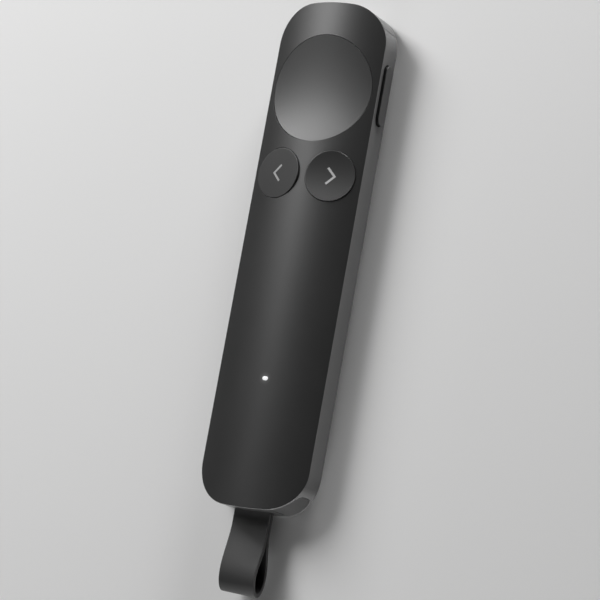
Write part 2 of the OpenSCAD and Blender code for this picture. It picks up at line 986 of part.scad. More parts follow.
module prev_switch() {
    color([0.75, 0.75, 0.77])
        at_key_switch(-1)
            switch_can();
}

module prev_plunger() {
    color([0.1, 0.1, 0.1])
        at_key_switch(-1)
            plunger();
}

module next_switch() {
    color([0.75, 0.75, 0.77])
        at_key_switch(1)
            switch_can();
}

module next_plunger() {
    color([0.1, 0.1, 0.1])
        at_key_switch(1)
            plunger();
}

module side_switch() {
    color([0.75, 0.75, 0.77]) {
        at_side_switch()
            switch_can(side_switch_h);
        translate([side_switch_x - side_switch_d, pointer_y - switch_w / 2, board_z])
            cube([side_switch_d - switch_h, switch_w, side_switch_h]);
    }
}

module side_plunger() {
    color([0.1, 0.1, 0.1])
        at_side_switch()
            plunger();
}

module battery_cell() {
    color([0.62, 0.64, 0.68])
        translate([0, (battery_lo_y + battery_hi_y) / 2, battery_z])
            linear_extrude(battery_t)
                rounded_rect(battery_w, battery_hi_y - battery_lo_y, battery_corner_r);
}

module battery_tape() {
    length = battery_hi_y - battery_lo_y - 2 * tape_margin;
    color([0.1, 0.1, 0.1])
        translate([0, (battery_lo_y + battery_hi_y) / 2, board_z])
            centred_box([battery_w - 2 * tape_margin, length, tape_t]);
}

module battery_leads() {
    z = board_z + socket_size[2] / 2;
    colours = ["firebrick", "black"];
    for (i = [0, 1])
        color(colours[i])
            translate([(i - 0.5) * lead_pitch, battery_hi_y, z])
                rotate([-90, 0, 0])
                    cylinder(r = lead_r, h = socket_y - socket_size[1] / 2 - battery_hi_y);
}

module battery_socket() {
    color([0.9, 0.88, 0.8])
        translate([0, socket_y, board_z])
            centred_box(socket_size);
}

module radio_shield() {
    wall = 0.2;
    color([0.72, 0.72, 0.74])
        translate([0, board_hi_y - aerial_size[1] - 1 - shield_size[1] / 2, board_z])
            difference() {
                centred_box(shield_size);
                translate([0, 0, -wall])
                    centred_box(shield_size - [2 * wall, 2 * wall, 0]);
            }
}

module aerial_chip() {
    color([0.85, 0.82, 0.7])
        translate([0, board_hi_y - aerial_size[1] / 2 - 0.4, board_z])
            centred_box(aerial_size);
}

module motion_sensor() {
    color([0.08, 0.08, 0.09])
        translate([0, (pointer_y + key_y) / 2 + 1, board_z])
            centred_box(sensor_size);
}

module controller_chip() {
    color([0.08, 0.08, 0.09])
        translate([motor_x, motor_y + motor_l / 2, board_z])
            centred_box(chip_size);
}

// Vibration motor

module motor_bore_shape(r, y0, y1) {
    translate([-motor_x, y1, motor_z])
        rotate([90, 0, 0])
            cylinder(r = r, h = y1 - y0);
}

module motor_can() {
    color([0.7, 0.7, 0.72])
    difference() {
        motor_bore_shape(motor_r, motor_y, motor_y + motor_l);
        motor_bore_shape(shaft_r + bore_gap, motor_y + 1, motor_y + 2 * motor_l);
    }
}

module motor_sleeve() {
    foot_w = 2 * (motor_r + sleeve_t);
    mid_y = motor_y + motor_l / 2;
    color([0.09, 0.09, 0.1])
    difference() {
        union() {
            motor_bore_shape(motor_r + sleeve_t, mid_y - sleeve_l / 2, mid_y + sleeve_l / 2);
            translate([-motor_x, mid_y, board_z])
                centred_box([foot_w, sleeve_l, motor_r + sleeve_t]);
        }
        motor_bore_shape(motor_r + 0.01, motor_y - 1, motor_y + 2 * motor_l);
    }
}

module motor_shaft() {
    tip_y = motor_y + motor_l + weight_gap + weight_l + 0.2;
    color([0.8, 0.8, 0.82])
        motor_bore_shape(shaft_r, motor_y + 1.2, tip_y);
}

module motor_weight() {
    y0 = motor_y + motor_l + weight_gap;
    color([0.45, 0.44, 0.42])
    difference() {
        union() {
            intersection() {
                motor_bore_shape(weight_r, y0, y0 + weight_l);
                translate([-motor_x, y0, motor_z - tall])
                    centred_box([body_w, 3 * weight_l, tall]);
            }
            motor_bore_shape(2 * shaft_r, y0, y0 + weight_l);
        }
        motor_bore_shape(shaft_r + 0.005, y0 - 1, y0 + 2 * weight_l);
    }
}

// Charge port

module port_run(y0, y1) {
    run_y(y0, y1)
        translate([0, mid_z])
            children();
}

module charge_port() {
    color([0.75, 0.75, 0.77])
    difference() {
        port_run(port_y, port_end_y)
            stadium(port_w + 2 * port_wall, port_h + 2 * port_wall);
        port_run(port_y - 1, port_y + port_depth)
            stadium(port_w, port_h);
    }
}

module charge_tongue() {
    color([0.1, 0.1, 0.11])
        port_run(port_y + 1.5, port_y + port_depth)
            rounded_rect(tongue_w, tongue_t, 0.2);
}

// Receiver and strap

module receiver_head() {
    slot_half = strap_w / 2 + 0.2;
    pocket_r = wrap_r + strap_t / 2 + 0.15;
    root_y = receiver_y - plug_root;
    color([0.18, 0.18, 0.19])
    difference() {
        intersection() {
            run_y(-body_l, receiver_y)
                translate([0, mid_z])
                    rounded_rect(receiver_w, receiver_h, receiver_r);
            linear_extrude(tall)
                outline();
        }
        run_x(-slot_half, slot_half)
            strap_pocket(pocket_r);
        run_x(-strap_w / 2 - pin_hold, strap_w / 2 + pin_hold)
            translate([pin_y, mid_z])
                circle(pin_r + 0.02);
        port_run(root_y, body_l)
            stadium(plug_w + 0.02, plug_h + 0.02);
        port_run(root_y - dongle_board_l - seat_gap, root_y + 0.1)
            square([dongle_board_w + 0.1, dongle_board_t + 0.1], center = true);
    }
}

// Room in the receiver for the strap and its turn around the pin
module strap_pocket(r) {
    neck = strap_slot_h / 2;
    translate([pin_y, mid_z])
        circle(r);
    translate([-end_y - 1, mid_z - neck])
        square([pin_y + end_y + 1, 2 * neck]);
    polygon([
        [0.4 - end_y, mid_z + neck], [pin_y - 1, mid_z + r], [pin_y, mid_z + r],
        [pin_y, mid_z - r], [pin_y - 1, mid_z - r], [0.4 - end_y, mid_z - neck]
    ]);
}

module receiver_plug() {
    color([0.78, 0.78, 0.8])
        port_run(receiver_y - plug_root, receiver_y + plug_l)
            difference() {
                stadium(plug_w, plug_h);
                stadium(plug_w - 2 * plug_wall, plug_h - 2 * plug_wall);
            }
}

module plug_insert() {
    y0 = receiver_y + plug_l - insert_l;
    color([0.1, 0.1, 0.11])
    difference() {
        port_run(y0, receiver_y + plug_l - 0.15)
            stadium(plug_w - 2 * plug_wall, plug_h - 2 * plug_wall);
        port_run(port_y + 1.2, body_l)
            rounded_rect(tongue_w + 0.2, tongue_t + 0.2, 0.2);
    }
}

module receiver_board() {
    root_y = receiver_y - plug_root - bore_gap;
    color([0.05, 0.28, 0.18]) {
        port_run(root_y - dongle_board_l + bore_gap, root_y)
            square([dongle_board_w, dongle_board_t], center = true);
        port_run(root_y - bore_gap, port_y + 1)
            square([dongle_tail_w, dongle_board_t], center = true);
    }
}

module strap_pin() {
    color([0.75, 0.75, 0.77])
        run_x(-strap_w / 2 - pin_hold, strap_w / 2 + pin_hold)
            translate([pin_y, mid_z])
                circle(pin_r);
}

// Point of a cubic curve through four control points
function cubic(p, t) =
    pow(1 - t, 3) * p[0] + 3 * t * pow(1 - t, 2) * p[1] + 3 * t * t * (1 - t) * p[2] + pow(t, 3) * p[3];

// Upper half of the strap's middle line, from the turn at the pin to the loop's end
strap_steps = 12;
bulge_z = (strap_bulge - strap_t) / 2;
loop_end_y = -end_y - strap_reach + strap_t / 2;
wide_y = -end_y - strap_reach + strap_head;
closed_y = -end_y - strap_closed;
exit_y = -end_y;
strap_turn = [for (i = [0:strap_steps]) let(a = 90 * i / strap_steps)
    [pin_y + wrap_r * cos(a), wrap_r * sin(a)]];
strap_neck = [for (i = [1:strap_steps])
    cubic([[pin_y, wrap_r], [pin_y - 1.1, wrap_r], [exit_y + 1.1, layer_z], [exit_y, layer_z]], i / strap_steps)];
strap_side = [for (i = [0:strap_steps])
    cubic([[closed_y, layer_z], [closed_y - 3.6, layer_z], [wide_y + 3.6, bulge_z], [wide_y, bulge_z]],
        i / strap_steps)];
strap_nose = [for (i = [1:strap_steps])
    cubic([[wide_y, bulge_z], [(wide_y + 2 * loop_end_y) / 3 + 0.4, bulge_z],
        [loop_end_y, 0.55 * bulge_z], [loop_end_y, 0]], i / strap_steps)];
strap_half = concat(strap_turn, strap_neck, strap_side, strap_nose);
strap_last = len(strap_half) - 1;
strap_line = concat(strap_half, [for (i = [strap_last - 1:-1:1]) [strap_half[i][0], -strap_half[i][1]]]);

// The closed middle line moved sideways by a distance
function strap_edge(shift) = [for (i = [0:len(strap_line) - 1])
    let(
        n = len(strap_line),
        d = strap_line[(i + 1) % n] - strap_line[(i + n - 1) % n],
        l = norm(d)
    )
    strap_line[i] + shift * [d[1], -d[0]] / l];

module strap_loop() {
    color([0.24, 0.24, 0.25])
        run_x(-strap_w / 2, strap_w / 2)
            translate([0, mid_z])
                difference() {
                    polygon(strap_edge(strap_t / 2));
                    polygon(strap_edge(-strap_t / 2));
                }
}

front_cover();
side_band();
back_cover();
top_end_cap();
bottom_end_cap();
pointer_key();
prev_key();
next_key();
prev_arrow();
next_arrow();
side_key();
light_pipe();
status_led();
main_board();
board_screws();
key_cradle();
key_flex();
pointer_switch();
pointer_plunger();
prev_switch();
prev_plunger();
next_switch();
next_plunger();
side_switch();
side_plunger();
battery_cell();
battery_tape();
battery_leads();
battery_socket();
charge_port();
charge_tongue();
radio_shield();
aerial_chip();
motion_sensor();
controller_chip();
motor_can();
motor_sleeve();
motor_shaft();
motor_weight();
receiver_head();
receiver_plug();
plug_insert();
receiver_board();
strap_pin();
strap_loop();
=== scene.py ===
# Wireless presentation clicker lying on its back: shell, keys, light, loop and receiver.
import math

import bpy
import numpy as np
from mathutils import Matrix, Vector
from mathutils.geometry import delaunay_2d_cdt


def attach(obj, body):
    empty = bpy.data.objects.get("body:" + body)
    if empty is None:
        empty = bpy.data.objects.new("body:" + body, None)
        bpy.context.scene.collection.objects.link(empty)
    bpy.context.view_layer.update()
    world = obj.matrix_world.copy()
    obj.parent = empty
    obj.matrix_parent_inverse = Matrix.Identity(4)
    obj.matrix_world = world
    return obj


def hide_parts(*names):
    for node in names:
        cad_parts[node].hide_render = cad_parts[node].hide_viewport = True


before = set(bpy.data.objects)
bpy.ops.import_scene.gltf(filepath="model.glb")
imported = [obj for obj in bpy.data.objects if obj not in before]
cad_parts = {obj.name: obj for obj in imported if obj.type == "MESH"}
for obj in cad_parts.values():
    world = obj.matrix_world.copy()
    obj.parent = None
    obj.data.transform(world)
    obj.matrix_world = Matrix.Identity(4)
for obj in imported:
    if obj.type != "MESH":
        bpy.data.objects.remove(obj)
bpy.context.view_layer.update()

mm = 0.001

cameraPlan = {
    "place": (0.27075, -0.09891, 0.48288),
    "target": (0.0019354, -0.0101052, 0.00575),
    "roll": -63.883,
    "lens": 145.26,
}


def addCamera(plan):
    lens = bpy.data.cameras.new("camera")
    lens.lens = plan["lens"]
    lens.sensor_width = 36
    lens.clip_start = 0.01
    camera = bpy.data.objects.new("camera", lens)
    bpy.context.scene.collection.objects.link(camera)
    place = Vector(plan["place"])
    aim = (Vector(plan["target"]) - place).to_track_quat("-Z", "Y").to_matrix()
    turn = Matrix.Rotation(math.radians(plan["roll"]), 3, "Z")
    camera.matrix_world = Matrix.Translation(place) @ (aim @ turn).to_4x4()
    bpy.context.scene.camera = camera


addCamera(cameraPlan)


class Wire:
    # One output of a node. Sums and products of wires add Math nodes.
    def __init__(self, finish, socket):
        self.finish = finish
        self.socket = socket

    def math(self, operation, first, second):
        return self.finish.add("ShaderNodeMath", {"operation": operation}, {0: first, 1: second})

    def __add__(self, other):
        return self.math("ADD", self, other)

    def __radd__(self, other):
        return self.math("ADD", other, self)

    def __sub__(self, other):
        return self.math("SUBTRACT", self, other)

    def __rsub__(self, other):
        return self.math("SUBTRACT", other, self)

    def __mul__(self, other):
        return self.math("MULTIPLY", self, other)

    def __rmul__(self, other):
        return self.math("MULTIPLY", other, self)

    def __truediv__(self, other):
        return self.math("DIVIDE", self, other)

    def __rtruediv__(self, other):
        return self.math("DIVIDE", other, self)

    def __gt__(self, other):
        return self.math("GREATER_THAN", self, other)

    def __lt__(self, other):
        return self.math("LESS_THAN", self, other)


class Finish:
    # A material with one Principled shader and a few ways to vary it over a surface.
    def __init__(self, name, constants):
        self.material = bpy.data.materials.new(name)
        self.material.use_nodes = True
        self.tree = self.material.node_tree
        self.shader = self.tree.nodes["Principled BSDF"]
        self.set(constants)
        self.coords = self.add("ShaderNodeTexCoord", {}, {}, "Object")

    def set(self, values):
        for name, value in values.items():
            if isinstance(value, Wire):
                self.tree.links.new(value.socket, self.shader.inputs[name])
            else:
                self.shader.inputs[name].default_value = value

    def add(self, kind, settings, sockets, output=0):
        node = self.tree.nodes.new(kind)
        for name, value in settings.items():
            if name == "stops":
                ramp = node.color_ramp.elements
                while len(ramp) < len(value):
                    ramp.new(0.5)
                for stop, (position, level) in zip(ramp, value):
                    stop.position = position
                    stop.color = (level, level, level, 1)
            else:
                setattr(node, name, value)
        for name, value in sockets.items():
            if isinstance(value, Wire):
                self.tree.links.new(value.socket, node.inputs[name])
            else:
                node.inputs[name].default_value = value
        return Wire(self, node.outputs[output])

    def stretched(self, scales):
        return self.add("ShaderNodeVectorMath", {"operation": "MULTIPLY"}, {0: self.coords, 1: scales})

    def noise(self, scale, detail=2.0, rough=0.5, coords=None):
        sockets = {"Vector": coords or self.coords, "Scale": scale, "Detail": detail, "Roughness": rough}
        return self.add("ShaderNodeTexNoise", {}, sockets)

    def cells(self, scale):
        return self.add("ShaderNodeTexVoronoi", {}, {"Vector": self.coords, "Scale": scale})

    def ramp(self, factor, stops):
        return self.add("ShaderNodeValToRGB", {"stops": stops}, {0: factor})

    def axis(self, name):
        return self.add("ShaderNodeSeparateXYZ", {}, {0: self.coords}, name)

    def mix(self, factor, first, second):
        return self.add("ShaderNodeMix", {"data_type": "RGBA"}, {0: factor, 6: first, 7: second}, 2)

    def bump(self, height, depth, strength):
        return self.add("ShaderNodeBump", {}, {"Height": height, "Distance": depth, "Strength": strength})

    # Edge wear from the edgeWear attribute; on the band it also holds a painted highlight at the lower
    # corners
    def wear(self):
        return self.add("ShaderNodeAttribute", {"attribute_name": "edgeWear"}, {}, "Fac")


def grey(level, warm=0.0):
    return (level * (1 + warm), level, level * (1 - warm), 1)


shellPlan = {
    "dark": 0.024,
    "light": 0.032,
    "worn": 0.05,
    "warm": 0.0,
    "grain": 7000.0,
    "cloud": 140.0,
    "rough": 0.37,
    "smear": 0.05,
    "edge": 0.5,  # how strongly worn edges show
    "rub": 0.04,  # how much smoother they are
    "relief": 0.004,  # height of the grain in millimetres
    "specular": 0.5,
}


def moulded(name, **changes):
    # Satin moulded plastic: fine spark texture, faint clouding and handled edges
    plan = {**shellPlan, **changes}
    finish = Finish(name, {"IOR": 1.5, "Specular IOR Level": plan["specular"]})
    grain = finish.noise(plan["grain"], 2.0, 0.6)
    cloud = finish.noise(plan["cloud"], 3.0, 0.55)
    smear = finish.noise(90.0, 2.0, 0.5, finish.stretched((1.0, 0.45, 1.0)))
    edge = finish.wear()
    dark, light, worn = (grey(plan[level], plan["warm"]) for level in ("dark", "light", "worn"))
    tone = finish.mix(cloud * 0.7 + grain * 0.3, dark, light)
    unevenness = (smear - 0.5) * plan["smear"] + (grain - 0.5) * 0.06
    finish.set({
        "Base Color": finish.mix(edge * plan["edge"], tone, worn),
        "Roughness": plan["rough"] + unevenness - edge * plan["rub"],
        "Normal": finish.bump(grain, plan["relief"] * mm, 0.6),
    })
    return finish


def metal(name, dark, light, stretch, scale, rough, relief):
    # Drawn or plated metal with fine lines along one direction
    finish = Finish(name, {"Metallic": 1.0})
    lines = finish.noise(scale, 2.0, 0.6, finish.stretched((1.0, stretch, 1.0)))
    stain = finish.noise(350.0, 2.0, 0.5)
    finish.set({
        "Base Color": finish.mix(lines * 0.6 + stain * 0.4, (*dark, 1), (*light, 1)),
        "Roughness": rough + (lines - 0.5) * 0.2 + (stain - 0.5) * 0.12,
        "Normal": finish.bump(lines, relief * mm, 0.5),
    })
    return finish


shellFinish = moulded("shellPlastic")
# The band's and rim's worn colours show as edge wear and, at the band's lower corners, as a painted highlight
bandFinish = moulded("bandPlastic", dark=0.141, light=0.162, worn=0.31, edge=1.0, rub=0.0, rough=0.22)
rimFinish = moulded("polishedRimAndPaintedHighlight", dark=0.15, light=0.17, worn=0.46, edge=1.0, rough=0.24,
                    grain=9000.0, relief=0.001)
capFinish = moulded("capPlastic", dark=0.106, light=0.124, worn=0.18, rough=0.3)
keyFinish = moulded("keyPlastic", rough=0.35)
dishFinish = moulded("dishPlastic", dark=0.03, light=0.038, worn=0.06)
sideKeyFinish = moulded("sideKeyPlastic", dark=0.07, light=0.082, worn=0.1)
# Near-black flanks of the side key: painted shade where the slot and the band's rim shadow them
flankPaintedShadeFinish = moulded("sideKeyFlankPaintedShade", dark=0.012, light=0.015, worn=0.015, specular=0.3)
arrowFinish = moulded("arrowInk", dark=0.34, light=0.38, worn=0.4, rough=0.5)
# The next key's arrow is the same white ink made lighter. This is painted light for the canted key, which
# turns away from the key lamp.
paintedLitArrowFinish = moulded("arrowInkPaintedLight", dark=0.48, light=0.54, worn=0.56, rough=0.5)
receiverFinish = moulded("receiverPlastic", dark=0.085, light=0.1, rough=0.36)
blackMoulding = moulded("blackNylon", dark=0.012, light=0.018, worn=0.03)
ivoryMoulding = moulded("ivoryNylon", dark=0.62, light=0.7, worn=0.75, warm=0.06)
foamFinish = moulded("foamTape", dark=0.01, light=0.02, grain=2600.0, relief=0.03, rough=0.8)
ceramicFinish = moulded("ceramic", dark=0.5, light=0.58, worn=0.62, warm=0.1)
epoxyFinish = moulded("epoxy", dark=0.015, light=0.022, rough=0.36)

steelFinish = metal("stampedSteel", dark=(0.5, 0.5, 0.51), light=(0.66, 0.66, 0.67),
                    stretch=12.0, scale=1200.0, rough=0.32, relief=0.002)
plugFinish = metal("nickelPlate", dark=(0.56, 0.56, 0.55), light=(0.7, 0.7, 0.69),
                   stretch=0.08, scale=5000.0, rough=0.24, relief=0.001)
shaftFinish = metal("groundSteel", dark=(0.6, 0.6, 0.6), light=(0.75, 0.75, 0.75),
                    stretch=20.0, scale=900.0, rough=0.2, relief=0.001)
weightFinish = metal("sinteredWeight", dark=(0.25, 0.24, 0.22), light=(0.36, 0.35, 0.33),
                     stretch=1.0, scale=4000.0, rough=0.5, relief=0.006)


def litLens():
    # The lit lens: white in the middle, a little softer towards its edge
    finish = Finish("litLens", {"Roughness": 0.3, "Emission Strength": 0.76})
    glow = finish.noise(2500.0, 1.0)
    finish.set({
        "Base Color": grey(0.25),
        "Emission Color": finish.mix(glow * 0.15 + finish.wear() * 0.35, (1, 1, 1, 1), (0.62, 0.66, 0.72, 1)),
    })
    return finish


def solderMask():
    # Solder mask over copper tracks, with tinned pads
    finish = Finish("solderMask", {"Coat Weight": 0.4, "Coat Roughness": 0.15})
    tracks = finish.add("ShaderNodeTexBrick", {"offset": 0.35, "squash": 0.6}, {
        "Vector": finish.coords, "Scale": 420.0, "Mortar Size": 0.05, "Mortar Smooth": 0.1,
    }, "Fac")
    pads = finish.cells(900.0) < 0.16
    mask = finish.mix(tracks, (0.012, 0.075, 0.045, 1), (0.02, 0.13, 0.07, 1))
    finish.set({
        "Base Color": finish.mix(pads, mask, (0.55, 0.52, 0.42, 1)),
        "Metallic": pads,
        "Roughness": 0.42 - pads * 0.12 + (finish.noise(2000.0) - 0.5) * 0.1,
        "Normal": finish.bump(tracks + pads, 0.02 * mm, 0.6),
    })
    return finish


def foilPouch():
    # Foil pouch with faint creases and a tape band at its head
    finish = Finish("foilPouch", {"Metallic": 0.85})
    crease = finish.noise(260.0, 4.0, 0.65, finish.stretched((1.0, 0.5, 1.0)))
    band = (finish.axis("Y") > -0.003) * (finish.axis("Y") < 0.003)
    finish.set({
        "Base Color": finish.mix(band, finish.mix(crease, grey(0.5), grey(0.66)), (0.75, 0.5, 0.12, 1)),
        "Roughness": 0.3 + (crease - 0.5) * 0.25 + band * 0.2,
        "Normal": finish.bump(crease, 0.12 * mm, 0.5),
    })
    return finish


def leadInsulation():
    # Red and black insulation, told apart by the side they lie on
    finish = Finish("leadInsulation", {"Coat Weight": 0.1})
    skin = finish.noise(3000.0)
    side = finish.axis("X") > 0.0
    red = finish.mix(skin, (0.32, 0.012, 0.01, 1), (0.42, 0.02, 0.016, 1))
    finish.set({
        "Base Color": finish.mix(side, red, grey(0.02)),
        "Roughness": 0.45 + (skin - 0.5) * 0.2,
        "Normal": finish.bump(skin, 0.01 * mm, 0.5),
    })
    return finish


def amberFilm():
    # Amber film with copper tracks that run along it
    finish = Finish("amberFilm", {"Coat Weight": 0.3})
    tracks = finish.add("ShaderNodeTexWave", {"wave_type": "BANDS", "bands_direction": "X"}, {
        "Vector": finish.coords, "Scale": 700.0, "Distortion": 0.6, "Detail": 1.0,
    }, "Fac")
    copper = tracks > 0.62
    finish.set({
        "Base Color": finish.mix(copper, (0.42, 0.2, 0.03, 1), (0.6, 0.3, 0.08, 1)),
        "Metallic": copper * 0.5,
        "Roughness": 0.34 + (finish.noise(1500.0) - 0.5) * 0.12,
        "Normal": finish.bump(tracks, 0.01 * mm, 0.4),
    })
    return finish


def phosphorResin():
    # Pale phosphor resin of the light source
    finish = Finish("phosphorResin", {"Emission Strength": 0.6, "Subsurface Weight": 0.1})
    speck = finish.noise(9000.0, 2.0)
    finish.set({
        "Base Color": finish.mix(speck, (0.8, 0.72, 0.4, 1), (0.9, 0.86, 0.62, 1)),
        "Emission Color": finish.mix(speck, (0.9, 0.88, 0.8, 1), (1, 1, 0.95, 1)),
        "Roughness": 0.4 + speck * 0.2,
    })
    return finish


def contactTongue():
    # Black tongue with gilt contacts in two rows
    finish = Finish("contactTongue", {})
    across = finish.add("ShaderNodeTexWave", {"wave_type": "BANDS", "bands_direction": "X"}, {
        "Vector": finish.coords, "Scale": 630.0, "Distortion": 0.0,
    }, "Fac")
    gilt = across > 0.6
    finish.set({
        "Base Color": finish.mix(gilt, grey(0.012), (0.75, 0.52, 0.2, 1)),
        "Metallic": gilt,
        "Roughness": 0.42 - gilt * 0.12 + (finish.noise(2500.0) - 0.5) * 0.1,
        "Normal": finish.bump(across, 0.02 * mm, 0.4),
    })
    return finish


lightFinish = litLens()
boardFinish = solderMask()
cellFinish = foilPouch()
leadFinish = leadInsulation()
flexFinish = amberFilm()
resinFinish = phosphorResin()
contactFinish = contactTongue()
print("materials made:", len(bpy.data.materials))


nudge = 0.01  # step for slopes, in millimetres
up = Vector((0, 0, 1))


class Shape:
    # Points, faces and shading normals of one piece. Equal points are welded.
    def __init__(self, matrix=None):
        self.matrix = matrix or Matrix.Identity(4)
        self.turn = self.matrix.to_3x3()
        self.known = {}
        self.points = []
        self.wear = []
        self.faces = []
        self.second = set()

    def point(self, position, wear=0.0):
        placed = self.matrix @ Vector(position)
        key = (round(placed.x, 5), round(placed.y, 5), round(placed.z, 5))
        if key not in self.known:
            self.known[key] = len(self.points)
            self.points.append(placed)
            self.wear.append(wear)
        return self.known[key]

    def face(self, corners):
        kept = []
        for index, normal in corners:
            if all(index != other for other, _ in kept):
                kept.append((index, self.turn @ normal))
        if len(kept) < 3:
            return
        spots = [self.points[index] for index, _ in kept]
        flat = Vector((0, 0, 0))
        for a, b in zip(spots, spots[1:] + spots[:1]):
            flat += a.cross(b)
        if flat.dot(sum((n for _, n in kept), Vector((0, 0, 0)))) < 0:
            kept.reverse()
        self.faces.append(kept)

    def join(self, upper, lower, closed=True):
        # Faces between two rows of corners
        count = len(upper)
        for i in range(count if closed else count - 1):
            j = (i + 1) % count
            self.face([upper[i], upper[j], lower[j], lower[i]])

    def paintSecond(self, chosen):
        # Give the piece's second finish to faces chosen by their middle and their shading normals
        for number, corners in enumerate(self.faces):
            middle = sum((self.points[i] for i, _ in corners), Vector((0, 0, 0))) / len(corners)
            if chosen(middle, [normal for _, normal in corners]):
                self.second.add(number)

    def build(self, name, bodyName, finishes, node):
        mesh = bpy.data.meshes.new(name)
        mesh.from_pydata([p * mm for p in self.points], [], [[i for i, _ in face] for face in self.faces])
        for finish in finishes:
            mesh.materials.append(finish.material)
        for number in self.second:
            mesh.polygons[number].material_index = 1
        mesh.shade_smooth()
        wear = mesh.attributes.new("edgeWear", "FLOAT", "POINT")
        wear.data.foreach_set("value", self.wear)
        mesh.normals_split_custom_set([normal.normalized() for face in self.faces for _, normal in face])
        mesh.update()
        piece = bpy.data.objects.new(name, mesh)
        bpy.context.scene.collection.objects.link(piece)
        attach(piece, bodyName)
        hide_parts(node)


def edgeRows(radius, thickness, count=4, turn=90):
    # Rows of (offset, depth, tilt) over a rounded edge and down the wall behind it
    rows = []
    full = math.radians(turn)
    for k in range(count + 1):
        tilt = full * k / count
        rows.append((radius * (math.sin(tilt) - math.sin(full)), radius * (1 - math.cos(tilt)), tilt))
    if turn < 90:
        rows.append((0.0, rows[-1][1], math.pi / 2))
    return rows + [(0.0, thickness, math.pi / 2)]


def insideOf(points, polygons):
    # Even-odd test of many points against closed polygons
    points = np.asarray(points, float).reshape(-1, 2)
    result = np.zeros(len(points), bool)
    for polygon in polygons:
        a = np.asarray(polygon, float)
        b = np.roll(a, -1, axis=0)
        for (ax, ay), (bx, by) in zip(a, b):
            if ay == by:
                continue
            crosses = (ay > points[:, 1]) != (by > points[:, 1])
            at = ax + (points[:, 1] - ay) * (bx - ax) / (by - ay)
            result ^= crosses & (points[:, 0] < at)
    return result


def triangulate(loops, closed, polygons, spots):
    # Constrained triangles between loops, as indices into all loop points and then the spots
    coords, edges = [], []
    for loop, isClosed in zip(loops, closed):
        start = len(coords)
        coords += loop
        count = len(loop)
        edges += [(start + i, start + (i + 1) % count) for i in range(count if isClosed else count - 1)]
    coords = coords + list(spots)
    verts, _, faces, origins, _, _ = delaunay_2d_cdt([Vector(c) for c in coords], edges, [], 0, 1e-7)
    centres = [sum((verts[i] for i in face), Vector((0, 0))) / 3 for face in faces]
    keep = insideOf(centres, polygons)
    return [[origins[i][0] for i in face] for face, good in zip(faces, keep) if good]


def spotsWithin(columns, rows, margin, polygons, loops):
    # Grid points inside the polygons and clear of every loop
    grid = np.array([(u, v) for u in columns for v in rows])
    grid = grid[insideOf(grid, polygons)]
    edge = np.array([p for loop in loops for p in loop])
    far = [np.min(np.hypot(edge[:, 0] - u, edge[:, 1] - v)) > margin for u, v in grid]
    return [tuple(p) for p, good in zip(grid, far) if good]


def steps(low, high, size):
    count = max(1, round((high - low) / size))
    return [low + (high - low) * i / count for i in range(count + 1)]


def gridOf(plan, cx=0.0, cy=0.0):
    # Columns and rows of points inside a sheet, and how far the points stay from its edges
    (across, along), (columnStep, rowStep) = plan["gridReach"], plan["gridStep"]
    columns = steps(cx - across, cx + across, columnStep)
    return columns, steps(cy - along, cy + along, rowStep), plan["gridClear"]


def sheet(shape, place, facing, chains, thickness, grid=None, polygonOf=None):
    # A thick sheet on place(u, v) with rounded edges along its chains and a grid of points inside

    def normalAt(u, v):
        a = place(u + nudge, v) - place(u - nudge, v)
        b = place(u, v + nudge) - place(u, v - nudge)
        return a.cross(b).normalized() * facing

    rings = []
    for chain in chains:
        ring = []
        for offset, depth, tilt in chain["rows"]:
            flat, ahead = chain["curve"](offset), chain["curve"](offset + nudge)
            row = []
            for i, (u, v) in enumerate(flat):
                normal, seat = normalAt(u, v), place(u, v)
                axis = chain.get("axis") or normal
                if "outward" in chain:
                    outward = chain["outward"](i)
                else:
                    outward = place(*ahead[i]) - seat
                    outward = (outward - axis * outward.dot(axis)).normalized()
                where = chain["solid"](i, offset, depth) if "solid" in chain else seat - axis * depth
                shade = (normal * math.cos(tilt) + outward * math.sin(tilt)).normalized()
                row.append((shape.point(where, math.sin(2 * tilt)), shade))
            ring.append(row)
        for upper, lower in zip(ring, ring[1:]):
            shape.join(upper, lower, chain.get("closed", True))
        rings.append(ring)

    def cover(which, back):
        rowNumber, side = (-1, -1) if back else (0, 1)
        loops = [chains[k]["curve"](chains[k]["rows"][rowNumber][0]) for k in which]
        closed = [chains[k].get("closed", True) for k in which]
        polygons = polygonOf(loops) if polygonOf else loops
        spots = spotsWithin(*grid, polygons, loops) if grid else []
        corners = []
        for k, loop in zip(which, loops):
            for (index, _), (u, v) in zip(rings[k][rowNumber], loop):
                corners.append((index, normalAt(u, v) * side))
        for u, v in spots:
            normal = normalAt(u, v)
            where = place(u, v) - normal * (thickness if back else 0)
            corners.append((shape.point(where), normal * side))
        for triangle in triangulate(loops, closed, polygons, spots):
            shape.face([corners[i] for i in triangle])

    cover(range(len(chains)), False)
    cover([k for k in range(len(chains)) if not chains[k].get("blind")], True)
    for k, chain in enumerate(chains):
        if chain.get("blind"):
            middle = chain["curve"](0)[0]
            normal = normalAt(*middle)
            shape.face([(index, normal) for index, _ in rings[k][-1]])


